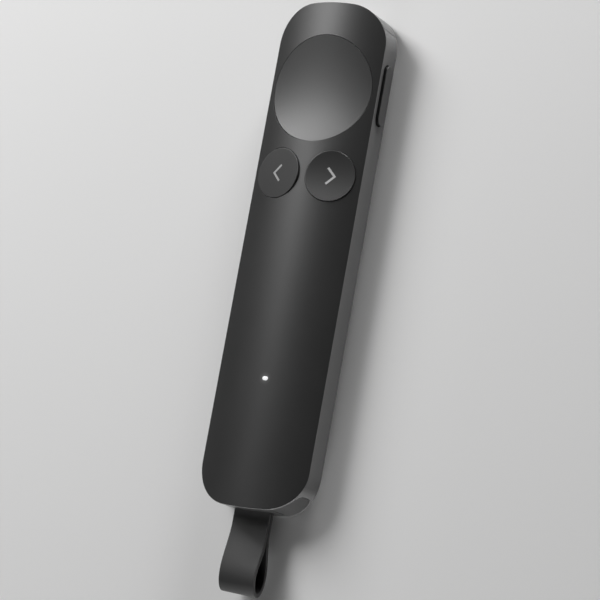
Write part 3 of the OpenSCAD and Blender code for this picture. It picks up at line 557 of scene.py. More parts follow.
def tube(shape, curve, low, high, wall, rounding):
    # A hollow run along Y with rounded mouth edges; curve(offset) is drawn in X and Z
    edge = edgeRows(rounding, high - low)
    rows = [(offset, low + depth, tilt, 1) for offset, depth, tilt in edge]
    rows += [(-wall - offset, low + depth, tilt, -1) for offset, depth, tilt in reversed(edge)]
    rings = []
    for offset, y, tilt, sign in rows:
        flat, ahead = curve(offset), curve(offset + nudge)
        ring = []
        for (x, z), (ax, az) in zip(flat, ahead):
            outward = Vector((ax - x, 0, az - z)).normalized() * sign
            shade = outward * math.sin(tilt) + Vector((0, -1, 0)) * math.cos(tilt)
            ring.append((shape.point((x, y, z), math.sin(2 * tilt)), shade))
        rings.append(ring)
    for upper, lower in zip(rings, rings[1:] + rings[:1]):
        shape.join(upper, lower)


def circle(cx, cy, radius, count):
    angles = [2 * math.pi * i / count for i in range(count)]
    return [(cx + radius * math.cos(a), cy + radius * math.sin(a)) for a in angles]


def roundedBox(cx, cy, width, height, radius, count):
    # Rounded rectangle, or a stadium when the radius is half its height
    points = []
    for quarter, (sx, sy) in enumerate(((1, 1), (-1, 1), (-1, -1), (1, -1))):
        for i in range(count + 1):
            a = math.pi / 2 * (quarter + i / count)
            points.append((cx + sx * (width / 2 - radius) + radius * math.cos(a),
                           cy + sy * (height / 2 - radius) + radius * math.sin(a)))
    return points


# The body's lens-shaped section and plan outline, in millimetres
body = {
    "width": 28.0,
    "length": 119.0,
    "bandHeight": 5.9,
    "crownRise": 3.1,
    "cornerRadius": 9.5,
    "endRadius": 68.0,
    "restDepth": 0.3,
    "sideSteps": 14,
    "cornerSteps": 18,
    "endSteps": 6,
}
crownRadius = ((body["width"] / 2) ** 2 + body["crownRise"] ** 2) / (2 * body["crownRise"])
edgeLow = body["crownRise"] - body["restDepth"]
edgeHigh = edgeLow + body["bandHeight"]
topZ = edgeHigh + body["crownRise"]
midZ = (edgeLow + edgeHigh) / 2
faceCentre = topZ - crownRadius
endCentre = body["length"] / 2 - body["endRadius"]
cornerX = body["width"] / 2 - body["cornerRadius"]
cornerY = endCentre + math.sqrt((body["endRadius"] - body["cornerRadius"]) ** 2 - cornerX ** 2)
cornerTurn = math.atan2(cornerY - endCentre, cornerX)
cornerRun = body["cornerRadius"] * cornerTurn
endRun = body["endRadius"] * (math.pi / 2 - cornerTurn)
quarterRun = cornerY + cornerRun + endRun


def faceZ(x):
    return faceCentre + math.sqrt(crownRadius ** 2 - x * x)


def backZ(x):
    return max(0.0, 2 * midZ - faceZ(x))


def quarterAt(s):
    if s <= cornerY:
        return (body["width"] / 2, s), (1.0, 0.0)
    if s <= cornerY + cornerRun:
        r = body["cornerRadius"]
        a = (s - cornerY) / r
        return (cornerX + r * math.cos(a), cornerY + r * math.sin(a)), (math.cos(a), math.sin(a))
    r = body["endRadius"]
    a = cornerTurn + (s - cornerY - cornerRun) / r
    return (r * math.cos(a), endCentre + r * math.sin(a)), (math.cos(a), math.sin(a))


def outlineAt(s):
    # Point and outward normal at a run s along the outline, from the middle of the right side
    s = s % (4 * quarterRun)
    quarter = min(3, int(s / quarterRun))
    run = (s, 2 * quarterRun - s, s - 2 * quarterRun, 4 * quarterRun - s)[quarter]
    fx, fy = ((1, 1), (-1, 1), (-1, -1), (1, -1))[quarter]
    (x, y), (nx, ny) = quarterAt(run)
    return Vector((fx * x, fy * y, 0)), Vector((fx * nx, fy * ny, 0))


def runAt(x, end):
    # Run along the outline at a given x on the top end (1) or the bottom end (-1)
    ax = abs(x)
    if ax >= body["endRadius"] * math.cos(cornerTurn):
        run = cornerY + body["cornerRadius"] * math.acos(min(1, (ax - cornerX) / body["cornerRadius"]))
    else:
        run = cornerY + cornerRun + body["endRadius"] * (math.acos(ax / body["endRadius"]) - cornerTurn)
    top = run if x >= 0 else 2 * quarterRun - run
    return top if end > 0 else 4 * quarterRun - top


quarterStops = (steps(0.0, cornerY, cornerY / body["sideSteps"])[:-1]
                + steps(cornerY, cornerY + cornerRun, cornerRun / body["cornerSteps"])[:-1]
                + steps(cornerY + cornerRun, quarterRun, endRun / body["endSteps"]))
halfStops = quarterStops + [2 * quarterRun - s for s in reversed(quarterStops[1:-1])]
outlineStops = halfStops + [2 * quarterRun + s for s in halfStops]


def outlineCurve(inset):
    def curve(offset):
        found = []
        for s in outlineStops:
            point, normal = outlineAt(s)
            point = point - normal * (inset - offset)
            found.append((point.x, point.y))
        return found
    return curve


print("body outline: corner ends at y =", round(cornerY, 2))

covers = {
    "inset": 0.07,  # from the body's outline to the cover's edge
    "thickness": 1.2,
    "rounding": 0.04,
    "landEdge": 0.12,  # from the edge of the back's flat land to the columns beside it
    "landStep": 1.2,
    "gridReach": (13.2, 58.5),
    "gridStep": (0.9, 1.8),
    "gridClear": 0.45,
}
pointer = {
    "y": 38.85,
    "radius": 12.72,
    "gap": 0.09,
    "dish": 1.05,
    "lean": 0.28,  # how far the hollow is pushed towards the lower end
    "tilt": 0.22,
    "sink": 0.24,
    "rounding": 0.06,
    "thickness": 0.7,
    "stemRadius": 1.6,
    "stemSink": 0.6,  # from the hollow's floor to the stem's top
    "stemEnd": 6.2,
    "corners": 144,
    "holeCorners": 128,
    "gridReach": (12.2, 12.2),
    "gridStep": (0.9, 0.9),
    "gridClear": 0.4,
}
smallKeys = {
    "y": 18.2,
    "x": 6.8,
    "radius": 5.97,
    "gap": {-1: 0.09, 1: 0.08},
    "proud": {-1: 0.04, 1: 0.24},
    "scoop": 0.55,
    "rounding": {-1: 0.16, 1: 0.2},
    "turn": 50,  # degrees the rounded edge bends before its wall
    "thickness": 1.8,
    "stemRadius": 1.2,
    "stemTop": -2.3,
    "stemEnd": -4.0,
    "corners": 96,
    "holeCorners": 72,
    "gridReach": (5.2, 5.2),
    "gridStep": (0.8, 0.8),
    "gridClear": 0.4,
}
light = {
    "y": -29.84,
    "width": 1.42,
    "length": 0.88,
    "gap": 0.04,
    "rounding": 0.1,
    "holeRounding": 0.05,
    "dome": 0.05,
    "thickness": 1.6,
    # reach and strength of the painted glow on the shell round the light
    "halo": 1.8,
    "glow": 0.11,
    "gridReach": (0.6, 0.4),
    "gridStep": (0.2, 0.2),
    "gridClear": 0.1,
}
keyCant = math.asin(smallKeys["x"] / crownRadius)


def keyHole(side):
    def curve(offset):
        radius = smallKeys["radius"] + smallKeys["gap"][side] - offset
        found = []
        for x, y in circle(0, smallKeys["y"], radius, smallKeys["holeCorners"]):
            angle = side * keyCant + math.asin(x / crownRadius)
            found.append((crownRadius * math.sin(angle), y))
        return found
    return curve


def stadiumCurve(cx, cy, width, height, sign, count=8):
    # Bar with round ends, grown (1) or shrunk (-1) by the offset
    def curve(offset):
        w, h = width + 2 * sign * offset, height + 2 * sign * offset
        return roundedBox(cx, cy, w, h, min(w, h) / 2 - 1e-4, count)
    return curve


def litShell():
    # The shell's finish with a faint painted glow round the status light
    finish = moulded("litShell")
    ends = {0: finish.coords, 1: (0, light["y"] * mm, topZ * mm)}
    away = finish.add("ShaderNodeVectorMath", {"operation": "DISTANCE"}, ends, "Value")
    reach = finish.ramp(away / (light["halo"] * mm), [(0.0, 1.0), (1.0, 0.0)])
    glow = finish.mix(reach * reach * light["glow"], grey(0), grey(1))
    finish.set({"Emission Color": glow, "Emission Strength": 1.0})
    return finish


def buildFrontCover():
    shape = Shape()
    wall = edgeRows(covers["rounding"], covers["thickness"])
    lightHole = stadiumCurve(0, light["y"], light["width"] + 2 * light["gap"],
                             light["length"] + 2 * light["gap"], -1)

    def dishHole(offset):
        return circle(0, pointer["y"], pointer["radius"] + pointer["gap"] - offset, pointer["holeCorners"])

    chains = [
        {"curve": outlineCurve(covers["inset"]), "axis": up, "rows": wall},
        {"curve": dishHole, "axis": up, "rows": wall},
        {"curve": lightHole, "axis": up, "rows": edgeRows(light["holeRounding"], covers["thickness"])},
    ]
    for side in (-1, 1):
        axis = Vector((side * math.sin(keyCant), 0, math.cos(keyCant)))
        chains.append({"curve": keyHole(side), "axis": axis, "rows": wall})
    sheet(shape, lambda u, v: Vector((u, v, faceZ(u))), 1, chains, covers["thickness"], gridOf(covers))
    shape.build("frontCover", "case", [litShell()], "front_cover")


def buildBackCover():
    shape = Shape()
    chains = [{"curve": outlineCurve(covers["inset"]), "axis": -up,
               "rows": edgeRows(covers["rounding"], covers["thickness"])}]
    land = math.sqrt(crownRadius ** 2 - (crownRadius - body["restDepth"]) ** 2)
    edge, spacing = covers["landEdge"], covers["gridStep"][0]
    sides = [land - edge, land, land + edge] + steps(land + spacing, covers["gridReach"][0], spacing)
    middle = steps(spacing - land, land - spacing, covers["landStep"])
    columns = [-x for x in reversed(sides)] + middle + sides
    grid = (columns, *gridOf(covers)[1:])
    sheet(shape, lambda u, v: Vector((u, v, backZ(u))), -1, chains, covers["thickness"], grid)
    shape.build("backCover", "case", [shellFinish], "back_cover")


buildFrontCover()
buildBackCover()
print("covers built")

band = {
    "wall": 0.06,
    "rimRadius": 0.06,
    "windows": {
        1: {"width": 25.9, "radius": 0.4, "lip": 0.35},
        -1: {"width": 24.9, "radius": 2.3, "lip": 0.6},
    },
    "underWindow": 0.35,
    "windowRounding": 0.06,
    "slotRounding": 0.06,
    "cornerSteps": 6,
    "arcStep": 0.03,
    "rowStep": 1.5,
    "gridClear": 0.5,
    "rimReach": 0.05,  # how far past its radius the bright rim goes
    "rimTilt": 0.3,
    "edgeWear": 0.15,
    "highlightFrom": 21,  # degrees round the lower corners where the band's painted highlight starts
    "highlightOver": 9,
}
sideKey = {
    "y": 39.1,
    "length": 14.25,
    "width": 3.2,
    "gap": 0.2,
    "proud": 0.7,
    "rounding": 0.16,
    "depth": 1.9,
    "flankTilt": 0.3,
    "endSteps": 12,
    "edgeSteps": 6,
}


def wallPoint(s, z):
    point, _ = outlineAt(s)
    return Vector((point.x, point.y, z))


def rimChain(side):
    # Upper (1) or lower (-1) edge of the band: it follows the crown while it goes in
    stops = outlineStops + [4 * quarterRun]

    def heightAt(x):
        return faceZ(x) if side > 0 else backZ(x)

    def curve(offset):
        return [(s, heightAt(outlineAt(s)[0].x) + side * offset) for s in stops]

    def solid(i, offset, depth):
        point, normal = outlineAt(stops[i])
        inner = point - normal * depth
        return Vector((inner.x, inner.y, heightAt(inner.x) + side * offset))

    def outward(i):
        point, _ = outlineAt(stops[i])
        lean = point.x / crownRadius if heightAt(point.x) > 0 else 0
        return Vector((lean, 0, side * math.sqrt(1 - lean ** 2)))

    return {"curve": curve, "closed": False, "rows": edgeRows(band["rimRadius"], band["wall"]),
            "solid": solid, "outward": outward}


def windowOutline(end, inset):
    # Lens-shaped window in X and Z, its corners rounded and its lower edge clear of the flat land
    plan = band["windows"][end]
    lowest = band["underWindow"] + inset
    radius = plan["radius"] - inset
    middle = crownRadius - plan["lip"] - plan["radius"]
    cx = plan["width"] / 2 - plan["radius"]
    cz = faceCentre + math.sqrt(middle ** 2 - cx ** 2)
    lens = middle + radius
    start = math.acos(cx / middle)
    side = [(cx + radius, z) for z in steps(midZ, cz, (cz - midZ) / 3)[1:-1]]
    corner = [(cx + radius * math.cos(a), cz + radius * math.sin(a))
              for a in steps(0, start, start / band["cornerSteps"])]
    arc = [(lens * math.cos(a), faceCentre + lens * math.sin(a))
           for a in steps(start, math.pi / 2, band["arcStep"])[1:-1]]
    points = []
    for sx, sz in ((1, 1), (-1, 1), (-1, -1), (1, -1)):
        quarter = side + corner + arc
        if sx != sz:
            quarter.reverse()
        else:
            quarter.append((0.0, faceCentre + lens))
        points += [(sx * x, z if sz > 0 else max(lowest, 2 * midZ - z)) for x, z in quarter]
    return points


def windowChain(end, gap, rows, sign):
    # The window's edge as a run along the outline and a height
    def curve(offset):
        return [(runAt(x, end), z) for x, z in windowOutline(end, gap - sign * offset)]
    return {"curve": curve, "axis": Vector((0, end, 0)), "rows": rows}


def buildSideBand():
    shape = Shape()
    chains = [rimChain(1), rimChain(-1)]
    for end in (1, -1):
        chains.append(windowChain(end, 0.0, edgeRows(band["windowRounding"], band["wall"]), -1))
    slot = stadiumCurve(sideKey["y"], midZ, sideKey["length"] + 2 * sideKey["gap"],
                        sideKey["width"] + 2 * sideKey["gap"], -1, sideKey["endSteps"])
    chains.append({"curve": slot, "axis": Vector((1, 0, 0)),
                   "rows": edgeRows(band["slotRounding"], band["wall"])})

    def polygonOf(loops):
        return [loops[0] + list(reversed(loops[1]))] + loops[2:]

    def onRim(middle, normals):
        fromRim = abs(abs(middle.z - midZ) - (faceZ(middle.x) - midZ))
        tilt = sum(abs(normal.z) for normal in normals) / len(normals)
        return tilt > band["rimTilt"] and fromRim < band["rimRadius"] + band["rimReach"]

    grid = (outlineStops[1:], steps(edgeLow, edgeHigh, band["rowStep"]), band["gridClear"])
    sheet(shape, wallPoint, 1, chains, band["wall"], grid, polygonOf)
    # The band turns paler towards the middle of its lower corners. This is a painted highlight, kept in the
    # edgeWear attribute together with the real edge wear.
    for number, point in enumerate(shape.points):
        sweep = math.degrees(math.atan2(-point.y - cornerY, abs(point.x) - cornerX))
        paintedHighlight = min(1, max(0, (sweep - band["highlightFrom"]) / band["highlightOver"])) if point.y < -cornerY else 0
        shape.wear[number] = max(band["edgeWear"] * shape.wear[number], paintedHighlight)
    shape.paintSecond(onRim)
    shape.build("sideBand", "case", [bandFinish, rimFinish], "side_band")


buildSideBand()
print("side band built")

caps = {
    "gap": 0.1,
    "rounding": 0.09,
    "mouthRounding": 0.08,
    "thickness": 1.0,
    "bayGap": 0.4,  # from the bottom panel's back to the bay's wall
    "bayRounding": 0.02,
    "rows": (1.0, 10.5),
    "rowStep": 1.6,
    "gridClear": 0.5,
}
receiver = {
    "width": 13.0,
    "height": 6.4,
    "radius": 1.6,
    "length": 7.4,
    "gap": 0.1,
    "wall": 0.55,
    "rounding": 0.16,
    "sag": 0.35,  # how far its end curves back
    "slotWidth": 9.8,
    "slotHeight": 2.05,
    "slotRounding": 0.15,
    "slotDepth": 0.6,
    "pocketGrow": 0.9,  # how much wider the slot gets inside, on each side
    "pocketDepths": (1.4, 5.0),
    "cornerSteps": 8,
    "slotEndSteps": 6,
    "gridReach": (6, 2.6),
    "gridStep": (1.5, 1.0),
    "gridClear": 0.4,
}


def receiverCurve(grow):
    def curve(offset):
        size = 2 * (grow + offset)
        return roundedBox(0, midZ, receiver["width"] + size, receiver["height"] + size,
                          receiver["radius"] + grow + offset, receiver["cornerSteps"])
    return curve


def alongWall(curve, end):
    def placed(offset):
        return [(runAt(x, end), z) for x, z in curve(offset)]
    return placed


def buildEndCap(end, name, node):
    shape = Shape()
    chains = [windowChain(end, caps["gap"], edgeRows(caps["rounding"], caps["thickness"]), 1)]
    if end < 0:
        mouth = receiverCurve(receiver["gap"])
        chains.append({"curve": alongWall(lambda o: mouth(-o), end), "axis": Vector((0, end, 0)),
                       "rows": edgeRows(caps["mouthRounding"], caps["thickness"])})
    low, high = (0, 2 * quarterRun) if end > 0 else (2 * quarterRun, 4 * quarterRun)
    columns = [s for s in outlineStops if low < s < high]
    grid = (columns, steps(*caps["rows"], caps["rowStep"]), caps["gridClear"])
    sheet(shape, wallPoint, 1, chains, caps["thickness"], grid)
    if end < 0:
        bay = receiverCurve(receiver["gap"] + receiver["wall"])
        front = caps["thickness"] + caps["bayGap"] - body["length"] / 2
        rear = receiver["length"] - body["length"] / 2
        tube(shape, bay, front, rear, receiver["wall"], caps["bayRounding"])
    shape.build(name, "case", [capFinish], node)


buildEndCap(1, "topEndCap", "top_end_cap")
buildEndCap(-1, "bottomEndCap", "bottom_end_cap")
print("end caps built")

keyStem = {
    "rounding": 0.05,
    "corners": 24,
}


def addKeyStem(shape, cy, radius, high, low):
    chain = {"curve": lambda o: circle(0, cy, radius + o, keyStem["corners"]), "axis": up,
             "rows": edgeRows(keyStem["rounding"], high - low)}
    sheet(shape, lambda u, v: Vector((u, v, high)), 1, [chain], high - low)


def buildPointerKey():
    shape = Shape()
    across = pointer["radius"] ** 2
    dropAcross = crownRadius - math.sqrt(crownRadius ** 2 - across) - pointer["dish"] - pointer["sink"]
    acrossRadius = (across + dropAcross ** 2) / (2 * dropAcross)
    alongRadius = (across + pointer["dish"] ** 2) / (2 * pointer["dish"])
    low = topZ - pointer["sink"] - pointer["dish"]

    def place(u, v):
        along = v - pointer["y"]
        reach = acrossRadius + alongRadius - math.sqrt(alongRadius ** 2 - along ** 2)
        far = (u * u + along ** 2) / across
        lean = (pointer["lean"] * (1 - far) + pointer["tilt"]) * along / pointer["radius"]
        return Vector((u, v, low - acrossRadius + math.sqrt(reach ** 2 - u * u) + lean))

    chain = {"curve": lambda o: circle(0, pointer["y"], pointer["radius"] + o, pointer["corners"]),
             "axis": up, "rows": edgeRows(pointer["rounding"], pointer["thickness"])}
    sheet(shape, place, 1, [chain], pointer["thickness"], gridOf(pointer, cy=pointer["y"]))
    addKeyStem(shape, pointer["y"], pointer["stemRadius"], low - pointer["stemSink"], pointer["stemEnd"])
    shape.build("pointerKey", "pointer", [dishFinish], "pointer_key")


def keyMatrix(side):
    # Frame on the crown at a small key
    return (Matrix.Translation((0, smallKeys["y"], faceCentre))
            @ Matrix.Rotation(side * keyCant, 4, "Y")
            @ Matrix.Translation((0, 0, crownRadius)))


def buildSmallKey(side, name, bodyName, node, scoop, finish):
    # Returns the key's top, on which its arrow is laid
    shape = Shape(keyMatrix(side))
    radius = (smallKeys["radius"] ** 2 + scoop ** 2) / (2 * scoop) if scoop else 0

    def place(u, v):
        lift = radius - math.sqrt(radius ** 2 - v * v) - scoop if scoop else 0
        return Vector((u, v, lift + smallKeys["proud"][side]))

    chain = {"curve": lambda o: circle(0, 0, smallKeys["radius"] + o, smallKeys["corners"]), "axis": up,
             "rows": edgeRows(smallKeys["rounding"][side], smallKeys["thickness"], turn=smallKeys["turn"])}
    sheet(shape, place, 1, [chain], smallKeys["thickness"], gridOf(smallKeys))
    addKeyStem(shape, 0, smallKeys["stemRadius"], smallKeys["stemTop"], smallKeys["stemEnd"])
    shape.build(name, bodyName, [finish], node)
    return place


arrows = {
    "stroke": 0.52,
    "rise": 1.9,
    "run": 1.85,
    "tip": 1.1,
    "proud": 0.015,
    "rounding": 0.03,
    "thickness": 0.3,
    "sideSteps": 4,
    "edgeSteps": 2,
}


def arrowCurve(direction):
    # Flat arrow, grown by the offset, with its tip in the given direction
    rise, run, tip, count = (arrows[name] for name in ("rise", "run", "tip", "sideSteps"))
    length = math.hypot(rise, run)

    def curve(offset):
        half = arrows["stroke"] / 2 + offset
        point = half * length / rise
        nx, ny = half * rise / length, half * run / length
        ex, ey = tip - run - offset * run / length, rise + offset * rise / length
        corners = [(tip + point, 0), (ex + nx, ey + ny), (ex - nx, ey - ny),
                   (tip - point, 0), (ex - nx, ny - ey), (ex + nx, -ey - ny)]
        found = []
        for (ax, ay), (bx, by) in zip(corners, corners[1:] + corners[:1]):
            for share in (k / count for k in range(count)):
                found.append((direction * (ax + (bx - ax) * share), ay + (by - ay) * share))
        return found
    return curve


def buildArrow(side, name, bodyName, node, place, finish):
    shape = Shape(keyMatrix(side))

    def raised(u, v):
        return place(u, v) + up * arrows["proud"]

    chain = {"curve": arrowCurve(side), "axis": up,
             "rows": edgeRows(arrows["rounding"], arrows["thickness"], arrows["edgeSteps"])}
    sheet(shape, raised, 1, [chain], arrows["thickness"])
    shape.build(name, bodyName, [finish], node)


def buildSideKey():
    shape = Shape()
    outerX = body["width"] / 2 + sideKey["proud"]
    outline = stadiumCurve(sideKey["y"], midZ, sideKey["length"], sideKey["width"], 1, sideKey["endSteps"])
    chain = {"curve": outline, "axis": Vector((1, 0, 0)),
             "rows": edgeRows(sideKey["rounding"], sideKey["depth"], sideKey["edgeSteps"])}
    sheet(shape, lambda u, v: Vector((outerX, u, v)), 1, [chain], sideKey["depth"])
    # The flanks take the painted shade finish
    shape.paintSecond(lambda _, normals: max(normal.x for normal in normals) < sideKey["flankTilt"])
    shape.build("sideKey", "side", [sideKeyFinish, flankPaintedShadeFinish], "side_key")


def buildLight():
    shape = Shape()

    def place(u, v):
        far = (2 * u / light["width"]) ** 2 + (2 * (v - light["y"]) / light["length"]) ** 2
        return Vector((u, v, topZ + light["dome"] * (1 - far)))

    chain = {"curve": stadiumCurve(0, light["y"], light["width"], light["length"], 1), "axis": up,
             "rows": edgeRows(light["rounding"], light["thickness"])}
    sheet(shape, place, 1, [chain], light["thickness"], gridOf(light, cy=light["y"]))
    shape.build("statusLight", "case", [lightFinish], "light_pipe")


buildPointerKey()
flatTop = buildSmallKey(-1, "prevKey", "prev", "prev_key", 0, keyFinish)
# The next key takes the dish's lighter plastic. This is a little painted light for its scooped top, which
# turns away from the key lamp.
scoopedTop = buildSmallKey(1, "nextKey", "next", "next_key", smallKeys["scoop"], dishFinish)
buildArrow(-1, "prevArrow", "prev", "prev_arrow", flatTop, arrowFinish)
buildArrow(1, "nextArrow", "next", "next_arrow", scoopedTop, paintedLitArrowFinish)
buildSideKey()
buildLight()
print("keys and light built")

strap = {
    "width": 9.4,
    "thickness": 0.9,
    "edge": 0.28,
    "reach": 19.2,
    "slant": 0.5,  # how much shorter the loop is along its left side
    "bulge": 5.5,
    "layerGap": 0.05,
    "leftFront": {"closed": 3.0, "head": 4.6},  # the front layer twists a little, so its sides part unevenly
    "rightFront": {"closed": 7.1, "head": 4.1},
    "back": {"closed": 4.5, "head": 4.9},
    "ease": 3.4,  # how gently the layers part and meet again
    "rootEase": 1.1,
    "headEase": 0.4,
    "headRound": 0.55,  # share of the bulge where the end turns in
    "pinRadius": 0.8,
    "pinGap": 0.05,
    "pinDepth": 2.5,
    "steps": 20,
    "edgeSteps": 5,
}
strapSkin = {
    "runShading": [  # painted light and shade from its root to its end: lighter at the root in the body's shadow, darker along the middle, lighter at the fold
        (0.0, 0.2), (0.08, 0.09), (0.15, 0.034), (0.25, 0.024), (0.4, 0.034), (0.87, 0.036), (1.0, 0.14),
    ],
    "dark": 0.027,
    "cut": 0.1,  # paleness of the cut sides
    "cutFrom": 0.23,  # square of the share of the width where they start
    "mottle": 0.3,
}
plug = {
    "width": 8.25,
    "height": 2.4,
    "wall": 0.3,
    "length": 6.0,
    "root": 1.9,
    "rounding": 0.1,
    "endSteps": 10,
}


def strapElastomer():
    # Dull elastomer, paler along its cut sides, with painted light and shade along its run
    finish = moulded("strapElastomer", rough=0.58, grain=5000.0, smear=0.09, relief=0.006, specular=0.42)
    run = (finish.axis("Y") * -1 - body["length"] / 2 * mm) / (strap["reach"] * mm)
    across = finish.axis("X") / (strap["width"] * mm)
    paintedRunShading = finish.ramp(run, strapSkin["runShading"])
    tone = finish.mix(across * across > strapSkin["cutFrom"], paintedRunShading, grey(strapSkin["cut"]))
    mottle = finish.noise(600.0, 3.0, 0.6) * strapSkin["mottle"]
    finish.set({"Base Color": finish.mix(mottle, tone, grey(strapSkin["dark"]))})
    return finish


def cubic(p, t):
    return tuple((1 - t) ** 3 * a + 3 * t * (1 - t) ** 2 * b + 3 * t * t * (1 - t) * c + t ** 3 * d
                 for a, b, c, d in zip(*p))


def strapHalf(reach, closed, head):
    # Half of the loop's middle line in Y and Z, from its pin to the end
    endY = body["length"] / 2
    pinY = strap["pinDepth"] - endY
    wrap = strap["pinRadius"] + strap["pinGap"] + strap["thickness"] / 2
    layer = (strap["thickness"] + strap["layerGap"]) / 2
    bulge = (strap["bulge"] - strap["thickness"]) / 2
    last = -endY - reach + strap["thickness"] / 2
    wide = -endY - reach + head
    shut = -endY - closed
    ease, rootEase = strap["ease"], strap["rootEase"]
    inHead = (wide + 2 * last) / 3 + strap["headEase"]
    root = [(pinY, wrap), (pinY - rootEase, wrap), (rootEase - endY, layer), (-endY, layer)]
    flare = [(shut, layer), (shut - ease, layer), (wide + ease, bulge), (wide, bulge)]
    turn = [(wide, bulge), (inHead, bulge), (last, strap["headRound"] * bulge), (last, 0)]
    part = [i / strap["steps"] for i in range(1, strap["steps"] + 1)]
    half = [(pinY + wrap * math.cos(math.pi / 2 * t), wrap * math.sin(math.pi / 2 * t)) for t in [0.0] + part]
    half += [cubic(root, t) for t in part]
    half += [cubic(flare, t) for t in [0.0] + part]
    return half + [cubic(turn, t) for t in part]


def strapLine(share):
    # Closed middle line of the loop at a share of its width
    left, right, back = strap["leftFront"], strap["rightFront"], strap["back"]
    front = {name: left[name] + (right[name] - left[name]) * share for name in left}
    reach = strap["reach"] - strap["slant"] * (1 - share)
    rear = strapHalf(reach, back["closed"], back["head"])
    points = strapHalf(reach, front["closed"], front["head"]) + [(y, -z) for y, z in reversed(rear[1:-1])]
    return [Vector((0, y, midZ + z)) for y, z in points]


def buildStrap():
    shape = Shape()
    left, right = strapLine(0), strapLine(1)
    turns = [math.pi / 2 * (quarter + k / strap["edgeSteps"])
             for quarter in range(4) for k in range(strap["edgeSteps"] + 1)]
    section = roundedBox(0, 0, strap["width"], strap["thickness"], strap["edge"], strap["edgeSteps"])
    profile = [(x, out, math.cos(a), math.sin(a), strapLine(x / strap["width"] + 0.5))
               for a, (x, out) in zip(turns, section)]
    count = len(left)
    rings = []
    for i in range(count):
        ring = []
        for x, out, nx, no, line in profile:
            run = (line[(i + 1) % count] - line[i - 1]).normalized()
            across = Vector((0, run.z, -run.y))
            twist = (right[i] - left[i]).dot(across) / strap["width"]
            ring.append((shape.point(line[i] + Vector((x, 0, 0)) + across * out, abs(2 * nx * no)),
                         Vector((nx - twist * no, 0, 0)) + across * no))
        rings.append(ring)
    for upper, lower in zip(rings, rings[1:] + rings[:1]):
        shape.join(upper, lower)
    shape.build("pullLoop", "receiver", [strapElastomer()], "strap_loop")


def buildReceiver():
    shape = Shape()

    def place(u, v):
        return Vector((u, -endCentre - math.sqrt(body["endRadius"] ** 2 - u * u), v))

    out = Vector((0, -1, 0))
    depth = receiver["length"] - receiver["sag"]
    slot = stadiumCurve(0, midZ, receiver["slotWidth"], receiver["slotHeight"], -1, receiver["slotEndSteps"])
    slotRows = edgeRows(receiver["slotRounding"], receiver["slotDepth"])
    slotRows += [(-receiver["pocketGrow"], deep, math.pi / 2) for deep in receiver["pocketDepths"]]
    chains = [
        {"curve": receiverCurve(0), "axis": out, "rows": edgeRows(receiver["rounding"], depth)},
        {"curve": slot, "axis": out, "rows": slotRows, "blind": True},
    ]
    sheet(shape, place, 1, chains, depth, gridOf(receiver, cy=midZ))
    shape.build("receiverHead", "receiver", [receiverFinish], "receiver_head")


def buildPlug():
    shape = Shape(Matrix.Scale(-1, 4, (0, 1, 0)))
    mouth = receiver["length"] - body["length"] / 2 + plug["length"]
    root = plug["length"] + plug["root"] - mouth
    outline = stadiumCurve(0, midZ, plug["width"], plug["height"], 1, plug["endSteps"])
    tube(shape, outline, -mouth, root, plug["wall"], plug["rounding"])
    shape.build("plugShell", "receiver", [plugFinish], "receiver_plug")


buildStrap()
buildReceiver()
buildPlug()
print("receiver and loop built")

sharpAngle = 30  # in degrees, for the edges of pieces inside

# Pieces inside keep their shape and get a finish
keptFinishes = {
    "status_led": resinFinish,
    "main_board": boardFinish,
    "board_screws": steelFinish,
    "key_cradle": blackMoulding,
    "key_flex": flexFinish,
    "battery_cell": cellFinish,
    "battery_tape": foamFinish,
    "battery_leads": leadFinish,
    "battery_socket": ivoryMoulding,
    "charge_port": steelFinish,
    "charge_tongue": contactFinish,
    "radio_shield": steelFinish,
    "aerial_chip": ceramicFinish,
    "motion_sensor": epoxyFinish,
    "controller_chip": epoxyFinish,
    "motor_can": steelFinish,
    "motor_sleeve": foamFinish,
    "motor_shaft": shaftFinish,
    "motor_weight": weightFinish,
    "plug_insert": contactFinish,
    "receiver_board": boardFinish,
    "strap_pin": shaftFinish,
}
for keyName in ("pointer", "prev", "next", "side"):
    keptFinishes[keyName + "_switch"] = steelFinish
    keptFinishes[keyName + "_plunger"] = blackMoulding
for nodeName, finish in keptFinishes.items():
    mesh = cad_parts[nodeName].data
    mesh.materials.clear()
    mesh.materials.append(finish.material)
    mesh.shade_smooth()
    mesh.set_sharp_from_angle(angle=math.radians(sharpAngle))
print("inner pieces finished:", len(keptFinishes))

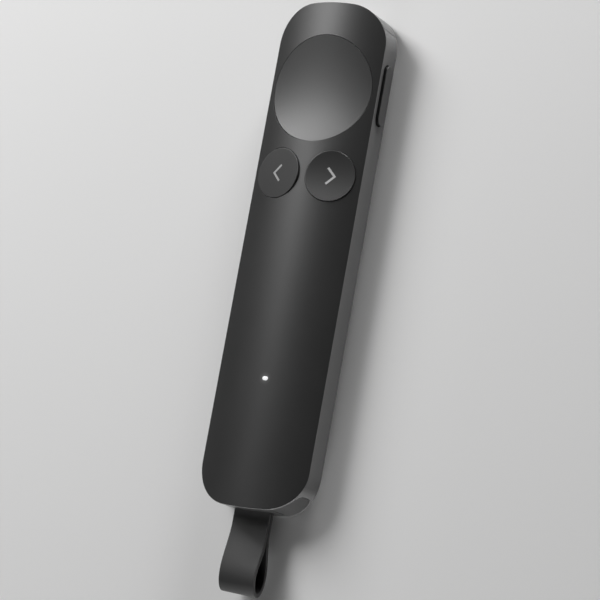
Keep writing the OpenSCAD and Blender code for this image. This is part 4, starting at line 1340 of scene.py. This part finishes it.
studio = {
    "floor": {"level": 0.8, "spread": 0.01, "warm": 0.002, "reach": 3},
    "world": 0.006,
    "aim": (0, 0.01, 0.008),
    "lamps": [
        # name, azimuth and height in degrees, distance, size across and up, power
        ("keyLamp", 138, 40, 0.8, (0.3, 0.6), 5.3),
        ("topLamp", 120, 50, 0.55, (0.3, 0.3), 0.3),
        ("sideLamp", 77, 10, 0.8, (0.3, 0.26), 5.6),
        ("endLamp", 273, 12, 0.8, (0.3, 0.26), 2.2),
    ],
}


def addFloor(level, spread, warm, reach):
    finish = Finish("paper", {"Roughness": 0.9, "Specular IOR Level": 0.1})
    fibre = finish.noise(900.0, 3.0)
    cloud = finish.noise(3.0, 2.0)
    tone = finish.mix(cloud * 0.6 + fibre * 0.4, grey(level - spread, warm), grey(level + spread, warm))
    finish.set({"Base Color": tone, "Normal": finish.bump(fibre, 0.01 * mm, 0.3)})
    mesh = bpy.data.meshes.new("floor")
    corners = [(-reach, -reach, 0), (reach, -reach, 0), (reach, reach, 0), (-reach, reach, 0)]
    mesh.from_pydata(corners, [], [(0, 1, 2, 3)])
    mesh.materials.append(finish.material)
    floor = bpy.data.objects.new("floor", mesh)
    bpy.context.scene.collection.objects.link(floor)


def addLamp(name, azimuth, height, distance, size, power):
    data = bpy.data.lights.new(name, "AREA")
    data.shape = "RECTANGLE"
    data.size, data.size_y = size
    data.energy = power
    lamp = bpy.data.objects.new(name, data)
    bpy.context.scene.collection.objects.link(lamp)
    turn, lift = math.radians(azimuth), math.radians(height)
    flat = math.cos(lift)
    place = Vector((flat * math.cos(turn), flat * math.sin(turn), math.sin(lift))) * distance
    aim = (Vector(studio["aim"]) - place).to_track_quat("-Z", "Y").to_matrix().to_4x4()
    lamp.matrix_world = Matrix.Translation(place) @ aim


addFloor(**studio["floor"])
for lamp in studio["lamps"]:
    addLamp(*lamp)
world = bpy.data.worlds.new("studioWorld")
bpy.context.scene.world = world
world.use_nodes = True
world.node_tree.nodes["Background"].inputs[0].default_value = (1, 1, 1, 1)
world.node_tree.nodes["Background"].inputs[1].default_value = studio["world"]
bpy.context.scene.view_settings.view_transform = "Standard"
print("studio ready")
